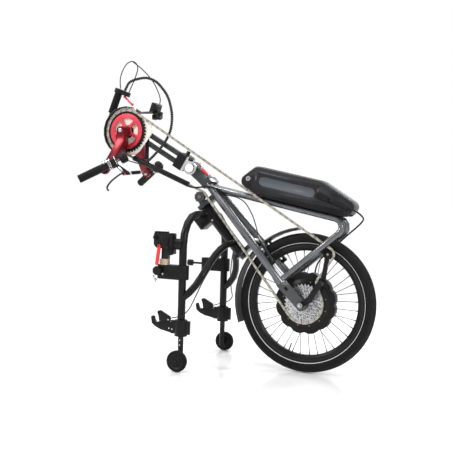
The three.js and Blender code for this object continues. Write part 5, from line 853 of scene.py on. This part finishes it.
def makeDrive():
    pins = makeChain()
    x, y, z = crankHub
    ring = toothedRing(40, 59, (x, chain["planeY"], z), 2.2, phaseAt(pins, x, z, pitchRadius(40)))
    settle(ring, "chainringTeeth", "crank", startFinish("chainringFinish", "blackMetal").close(), ("chainring",), 30)
    cogs = []
    for i, teeth in enumerate(cassette["teeth"]):
        phase = phaseAt(pins, 0, 250, pitchRadius(34)) if i == 0 else i * 0.06
        inner = max(19, pitchRadius(teeth) - (17 if i < 4 else 10))
        y = cassette["first"] - i * cassette["spacing"]
        cogs.append(toothedRing(teeth, inner, (0, y, 250), cassette["thick"], phase))
    cogs.append(spunPiece(cassette["sleeve"], (0, 0, 250), 48))
    for k in range(cassette["arms"]):  # behind the large cogs
        angle = 2 * pi * k / cassette["arms"] + 0.3
        cogs.append(slabPiece(onRound((0, 250), 32, angle, -42.5), (34, 7, 8), -degrees(angle), 1.2, 2))
    steel = startFinish("cassetteFinish", "silver")
    across = steel.ringed(0, 0, 250)
    steel.height = steel.height + (across * 6).wave() * 0.012
    # random dark blotches on the cogs: painted shade, standing in for the dark gaps between them
    steel.patch(steel.noise(5, 2).over(0.55, 0.06), colour=(0.10, 0.10, 0.105), rough=0.4)
    steel.patch(across.under(21, 1), colour=(0.03, 0.03, 0.032), rough=0.4)
    settle(joinPieces(cogs), "cassetteCogs", "cassette_cogs", steel.close(), ("cassette",), 30)


makeDrive()
print("chain drive made")


# Casters
caster = {"centre": (-401, 224, 38), "profile": mirrored([
    (4.6, -10.6), (10.5, -10.6), (12, -9.2), (14, -6), (22, -5), (25, -7.6), (28.5, -9.8), (33, -10), (36.2, -8),
    (37.7, -4), (38, 0)])}


def makeCasters():
    finish = startFinish("casterFinish", "blackRubber")
    x, y, z = caster["centre"]
    ring = finish.ringed(x, y, z)
    finish.patch(ring.under(25.4), colour=(0.011, 0.011, 0.012), rough=0.38)
    finish.patch(ring.between(24.6, 25.6, 0.2), colour=0.05, rough=0.4)
    material = finish.close()
    for side, sign in bothSides:
        piece = spunPiece(caster["profile"], (x, sign * y, z), 64)
        settle(piece, "casterTread_" + side, "caster_" + side + "_wheel", material, ("caster_" + side,), 35)


makeCasters()


# Flat plates with holes, from outlines in the drawing's x and z
def platePiece(outlines, y, thick, rounding):
    curve = bpy.data.curves.new("plate", "CURVE")
    curve.dimensions = "2D"
    curve.fill_mode = "BOTH"
    curve.extrude = (thick / 2 - rounding) / 1000
    curve.bevel_depth = rounding / 1000
    curve.bevel_resolution = 2
    curve.offset = -rounding / 1000
    for outline in outlines:
        line = curve.splines.new("POLY")
        line.points.add(len(outline) - 1)
        for point, (x, _, z) in zip(line.points, outline):
            spot = place(x, 0, z)
            point.co = (spot.x, spot.z, 0, 1)
        line.use_cyclic_u = True
    choose(newPiece("plate", curve))
    bpy.ops.object.convert(target="MESH")
    piece = bpy.context.object
    piece.data.transform(Matrix.Translation((0, y / 1000, 0)) @ Matrix.Rotation(pi / 2, 4, "X"))
    mendMesh(piece)
    return piece


guardRing = {"outer": 68, "windowInner": 23, "windowOuter": 51, "arm": 12.5, "windows": 5, "turnShare": 0.15,
             "y": -42.4, "thick": 4, "innerShare": 0.72, "outerShare": 0.86}


def makeGuardRing():
    low, high, count = guardRing["windowInner"], guardRing["windowOuter"], guardRing["windows"]
    outlines = [[onRound(crankHub, guardRing["outer"], 2 * pi * k / 96) for k in range(96)]]
    for i in range(count):
        middle = 2 * pi * (i + guardRing["turnShare"]) / count
        window = []
        for radius, share in ((low, guardRing["innerShare"]), (low + 2.5, 1), (high - 4, 1),
                              (high, guardRing["outerShare"])):
            window.append((radius, share * (pi / count - asin(guardRing["arm"] / 2 / radius))))
        side = [(radius, middle + half) for radius, half in window]
        across = [(high, middle + window[-1][1] * (1 - k / 5)) for k in range(1, 10)]
        back = [(radius, middle - half) for radius, half in reversed(window)]
        outlines.append([onRound(crankHub, *spot) for spot in side + across + back])
    ring = platePiece(outlines, guardRing["y"], guardRing["thick"], 0.6)
    settle(ring, "guardRing", "crank", "ringRed", smooth=35)


makeGuardRing()


# Bolts: one modelled, the rest copied
def boltMaster():
    clearChoice()
    bpy.ops.mesh.primitive_cylinder_add(vertices=24, radius=1, depth=1, location=(0, 0, 0.5))
    bolt = bpy.context.object
    bpy.ops.object.transform_apply(location=True)
    selectFaces(bolt, lambda face: face.normal.z > 0.9)
    with editing(None):
        bpy.ops.mesh.inset(thickness=0.5)
        bpy.ops.mesh.extrude_region_move(TRANSFORM_OT_translate={"value": (0, 0, -0.6)})
    bevelEdges(bolt, 0.09)
    choose(bolt)
    bpy.ops.object.shade_smooth_by_angle(angle=radians(40))
    return bolt


bolts = {
    # name: x, y, z, way it faces along y, radius, height, body, finish
    "crankBolt": (-726, -90.2, 860, -1, 4.6, 1.2, "crank", "satinBlack"),
    "farEye": (-743, 156.8, 707, -1, 9.5, 1.6, "crank", "silver"),
    "dockScrew": (-464, -225.1, 342, -1, 3.2, 2.2, "adapter", "silver"),
    "lockRing": (-218.9, -50, 688.1, -1, 8.3, 1.4, "fork", "silver"),
    "lockCore": (-218.9, -50, 688.1, -1, 4.4, 1.0, "fork", "satinBlack"),
    "cageBoltRight": (82, -44.6, 430, -1, 3.4, 1.4, "tension", "silver"),
    "headPin": (-362, -31, 532, -1, 4.2, 1.4, "adapter", "silver"),
    "headScrewLow": (-385, -31, 556, -1, 3.2, 1.4, "adapter", "darkSteel"),
    "stayScrewLow": (-66, -79.2, 340, -1, 3.4, 1.4, "fork", "silver"),
    "stayScrewHigh": (-48, -79.2, 352, -1, 3.0, 1.4, "fork", "darkSteel"),
    "guideScrew": (66, -44.6, 328, -1, 3.2, 1.4, "guide", "silver"),
    "idlerScrew": (-410, -47.2, 617, -1, 6.5, 1.4, "idler", "darkSteel"),
}
pairedBolts = {
    # name: x, distance from the middle, z, radius, height, body, finish
    "pivotCap%s": (-457, 42, 723, 14.5, 0.9, "boom_arm", "whiteCap"),
    "hookScrew%s0": (-445, 203.2, 148, 2.1, 0.8, "adapter", "whiteCap"),
    "hookScrew%s1": (-433, 203.2, 145, 2.1, 0.8, "adapter", "whiteCap"),
    "axleCap%s": (0, 90.4, 250, 7.6, 4.2, "fork", "darkSteel"),
    "casterHub%s": (-401, 232.6, 38, 9.0, 2.2, "caster_%s_wheel", "blackPlastic"),
    "latchPin%s": (-449, 202.4, 178, 3, 1.6, "latch_%s_arm", "silver"),
    "brakeBolt%s": (-149, 53.6, 430, 3.6, 1.8, "brake_%s", "silver"),
}
for i, z in enumerate((58, 75, 92, 109, 126)):
    pairedBolts["legButton%s" + str(i)] = (-401, 205.6, z, 2.6, 0.3, "leg_%s_slide", "silver")
for i in range(12):
    x, y, z = onRound((0, 250), 80, 2 * pi * (i + 0.5) / 12, 32)
    pairedBolts["motorScrew" + str(i) + "%s"] = (x, y, z, 2.4, 1.0, "wheel", "darkSteel")
for name, (x, y, z, *size, body, paint) in pairedBolts.items():
    for side, sign in bothSides:
        bolts[name % side.title()] = (x, sign * y, z, sign, *size, body.replace("%s", side), paint)


def makeBolts():
    master = boltMaster()
    for name, (x, y, z, way, radius, height, body, paint) in bolts.items():
        mesh = master.data.copy()
        turn = Vector((0, way, 0)).to_track_quat("Z", "Y").to_matrix().to_4x4()
        size = Matrix.Diagonal((radius / 1000, radius / 1000, height / 1000, 1))
        mesh.transform(Matrix.Translation(place(x, y, z)) @ turn @ size)
        bolt = newPiece(name, mesh)
        paintPiece(bolt, paint)
        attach(bolt, body)
    bpy.data.objects.remove(master)


makeBolts()
print("bolts made")


# Plug on the battery's side
plugParts = {
    # name: u, v, size, rounding
    "plugGrip": (313, 50.5, (46, 5.2, 19), 2.4), "plugBoot": (372, 37.5, (40, 4.4, 11), 2.0),
}
for name, (u, v, size, rounding) in plugParts.items():
    spot = Matrix.Rotation(battery["slope"], 2) @ Vector((u, v)) + Vector(battery["foot"])
    settle(slabPiece((spot.x, -50.2, spot.y), size, 23.4, rounding), name, "fork", "blackPlastic")


# Display with its rounded hood and clamp
display = {"middle": (-626, 4, 950), "tilt": 18, "body": (20, 62, 42), "hood": 6, "glass": (1.2, 50, 29)}


def makeDisplay():
    tilt = display["tilt"]
    turn = radians(tilt)
    x, y, z = display["middle"]
    parts = [
        slabPiece(display["middle"], display["body"], tilt, display["hood"], 4),
        slabPiece((x + 9 * cos(turn), y, z - 9 * sin(turn)), (5, 48, 30), tilt, 2.4),
        slabPiece((-612, -4, 921), (30, 34, 24), 0, 7, 4),
        rodPiece((-628, -29, 916), (-628, 14, 916), 9.5, bevel=1.6),
        rodPiece((-600, -28, 912), (-600, -8, 912), 7, bevel=1.2),
        rodPiece((-612, -6, 926), (-620, 2, 944), 8, bevel=1.0),
        slabPiece((-598, -12, 931), (14, 22, 12), 24, 2.5),
    ]
    black = startFinish("displayFinish", "blackPlastic").close()
    settle(joinPieces(parts), "displayUnit", "boom_arm", black, ("display",))
    outX, outZ = -10.2 * cos(turn), 10.2 * sin(turn)  # from the middle to the face
    glass = slabPiece((x + outX, y, z + outZ), display["glass"], tilt, 0.5, 2)
    finish = startFinish("displayGlass", "blackPlastic")
    lit = finish.y.between(-17, 25, 0.3) * finish.z.between(941, 961, 0.4)
    finish.patch(lit, colour=(0.035, 0.05, 0.045), rough=0.08)
    settle(glass, "displayFace", "boom_arm", finish.close())
    for k in range(3):
        across = -14 + 18 * k
        ends = (x + outX, across, z + outZ - 17), (x + outX * 1.12, across, z + outZ - 16.6)
        settle(rodPiece(*ends, 2.6, bevel=0.4), "displayButton%d" % k, "boom_arm", "greyPlastic")


makeDisplay()


# Docking mechanism: fins, spring barrel and screws on its block
def makeDockDetails():
    fins = [slabPiece((x, -208, 487), (5, 30, 8), 0, 1.2, 2) for x in (-499, -486, -473, -460)]
    fins += [
        rodPiece((-497, -191, 470), (-497, -229, 470), 8, bevel=1.2),
        rodPiece((-497, -229, 470), (-497, -233, 470), 5, bevel=0.8),
        slabPiece((-462, -227, 461), (34, 4, 26), 10, 1.4, 2),
        slabPiece((-446, -208, 425), (14, 28, 34), 0, 2.4, 2),
        rodPiece((-448, -224, 434), (-448, -230, 434), 9, bevel=1.2),
    ]
    settle(joinPieces(fins), "dockFins", "adapter", "blackPlastic")
    screw = joinPieces([rodPiece((-499, -222, 326), (-488, -222, 318), 2.6, bevel=0.4),
                        rodPiece((-503, -222, 335), (-493, -222, 311), 2.2, bevel=0.5)])
    settle(screw, "bandScrew", "adapter", "silver")
    for k, (x, z) in enumerate(((-445, 348), (-432, 348), (-419, 348), (-445, 336), (-432, 336))):
        for side, sign in bothSides:
            hole = rodPiece((x, sign * 214, z), (x, sign * 219.3, z), 2.2, bevel=0.3)
            settle(hole, "bandHole%s%d" % (side.title(), k), "adapter", "blackRubber")


makeDockDetails()


# Grips: rings; on the right also clamp screws, barrel adjusters, end cap and red dot
def makeGripDetails():
    line, foot = grip["line"], Vector(grip["foot"])
    for side, sign in bothSides:
        mirror = Vector((1, -sign, 1))
        rings = [rodPiece((foot + line * low) * mirror, (foot + line * high) * mirror, radius, bevel=0.6)
                 for low, high, radius in ((119, 122.5, 18.4), (126, 129, 21.6), (148, 151, 22.0))]
        settle(joinPieces(rings), "gripRings_" + side, "handle_" + side + "_turn", "silver")
    screws = []
    for out, radius in ((112, 5.5), (122, 6.5), (133, 5)):
        spot = foot + line * out
        screws.append(rodPiece(spot + Vector((-2, -12, 8)), spot + Vector((-4, -22, 12)), radius, bevel=0.8))
    screws.append(rodPiece((-672, -186, 716), (-655, -190, 698), 5.5, bevel=0.8))
    barrels = [rodPiece((-592, -177.6, 699.6), (-578, -174.5, 702), 4.4, endRadius=3.0, bevel=0.4),
               rodPiece((-691, -172.6, 739.4), (-678, -165.2, 744.6), 4.4, endRadius=3.0, bevel=0.4)]
    cap = rodPiece(foot + line * 166, foot + line * 196, 19.5, bevel=7.5)
    dot = rodPiece((-640, -196.4, 690), (-640, -198.6, 690), 3.4, bevel=0.6)
    for piece, name, paint in (
        (joinPieces(screws), "gripClampScrews", "silver"), (joinPieces(barrels), "cableAdjusters", "darkSteel"),
        (cap, "gripCap", "blackPlastic"), (dot, "leverDot", "redPaint"),
    ):
        settle(piece, name, "handle_right_turn", paint)


makeGripDetails()


# Brake cable's noodle over the fender and a spring on each arm
def curvedRod(points, radius, sides=12):
    course = smoothCourse(points, 10)
    return newPiece("curvedRod", tubeMesh("curvedRod", course, [radius / 1000] * len(course), sides))


def makeBrakeDetails():
    noodle = curvedRod([(-187, -15, 482), (-180, -26, 476), (-171, -38, 468), (-160, -46, 464), (-150, -50, 462)], 2.8)
    settle(noodle, "brakeNoodle", "fork", "darkSteel")
    for side, sign in bothSides:
        spring = curvedRod([(x, sign * y, z) for x, y, z in (
            (-139, 52, 395), (-146, 56, 415), (-150, 56, 440), (-146, 53, 458))], 0.9, 8)
        settle(spring, "brakeSpring" + side.title(), "brake_" + side, "silver")


makeBrakeDetails()


# Floor and light
stage = {"floor": 40, "near": 1.1, "far": 2.6, "low": 1.0, "high": 0.22, "lights": [
    # name, place, aim, size, power
    ("overheadLight", (-0.2, 0.2, 3.0), (0, 0, 0), 3.6, 105),
    ("keyLight", (-1.7, -1.6, 2.3), (0, 0, 0.6), 0.45, 42),
    ("sideLight", (2.2, -1.4, 1.7), (0, 0, 0.5), 0.4, 24),
    ("backLight", (0.6, 2.4, 2.0), (0, 0, 0.5), 0.6, 30),
]}


def makeFloor():
    clearChoice()
    bpy.ops.mesh.primitive_plane_add(size=stage["floor"], location=(0, 0, -0.0005))
    floor = bpy.context.object
    floor.name = "paleFloor"
    finish = Finish("paleFloor", {"tones": (0.92, 0.94), "rough": (0.16, 0.22), "grain": (3, 0.004)})
    away = ((finish.x + wheelShift) ** 2 + finish.y ** 2) ** 0.5 / 1000
    far = finish.add("ShaderNodeMapRange", {"interpolation_type": "SMOOTHSTEP"},
                     {"Value": away, "From Min": stage["near"], "From Max": stage["far"]})
    finish.patch(far, colour=0.0, rough=1.0)
    glow = finish.blend(far, 0.0, 1.0)
    finish.feed(finish.shader, {"Emission Color": glow, "Emission Strength": 1.0})
    floor.data.materials.append(finish.close())


def makeLight():
    world = bpy.data.worlds.new("softWorld")
    bpy.context.scene.world = world
    world.use_nodes = True
    nodes, links = world.node_tree.nodes, world.node_tree.links
    away = nodes.new("ShaderNodeTexCoord")
    parts = nodes.new("ShaderNodeSeparateXYZ")
    links.new(away.outputs["Generated"], parts.inputs[0])
    fall = nodes.new("ShaderNodeMapRange")  # white round the horizon, darker above
    fall.interpolation_type = "SMOOTHSTEP"
    for socket, value in (("From Min", 0.32), ("From Max", 0.62), ("To Min", stage["low"]), ("To Max", stage["high"])):
        fall.inputs[socket].default_value = value
    links.new(parts.outputs[2], fall.inputs["Value"])
    links.new(fall.outputs[0], nodes["Background"].inputs["Strength"])
    nodes["Background"].inputs["Color"].default_value = (1, 1, 1, 1)
    for name, spot, aim, wide, power in stage["lights"]:
        bpy.ops.object.light_add(type="AREA", location=spot)
        light = bpy.context.object
        light.name = name
        light.data.size = wide
        light.data.energy = power
        light.rotation_euler = (Vector(aim) - Vector(spot)).to_track_quat("-Z", "Y").to_euler()


makeFloor()
makeLight()
bpy.context.scene.view_settings.view_transform = "Standard"
bpy.context.view_layer.update()
print("scene ready")
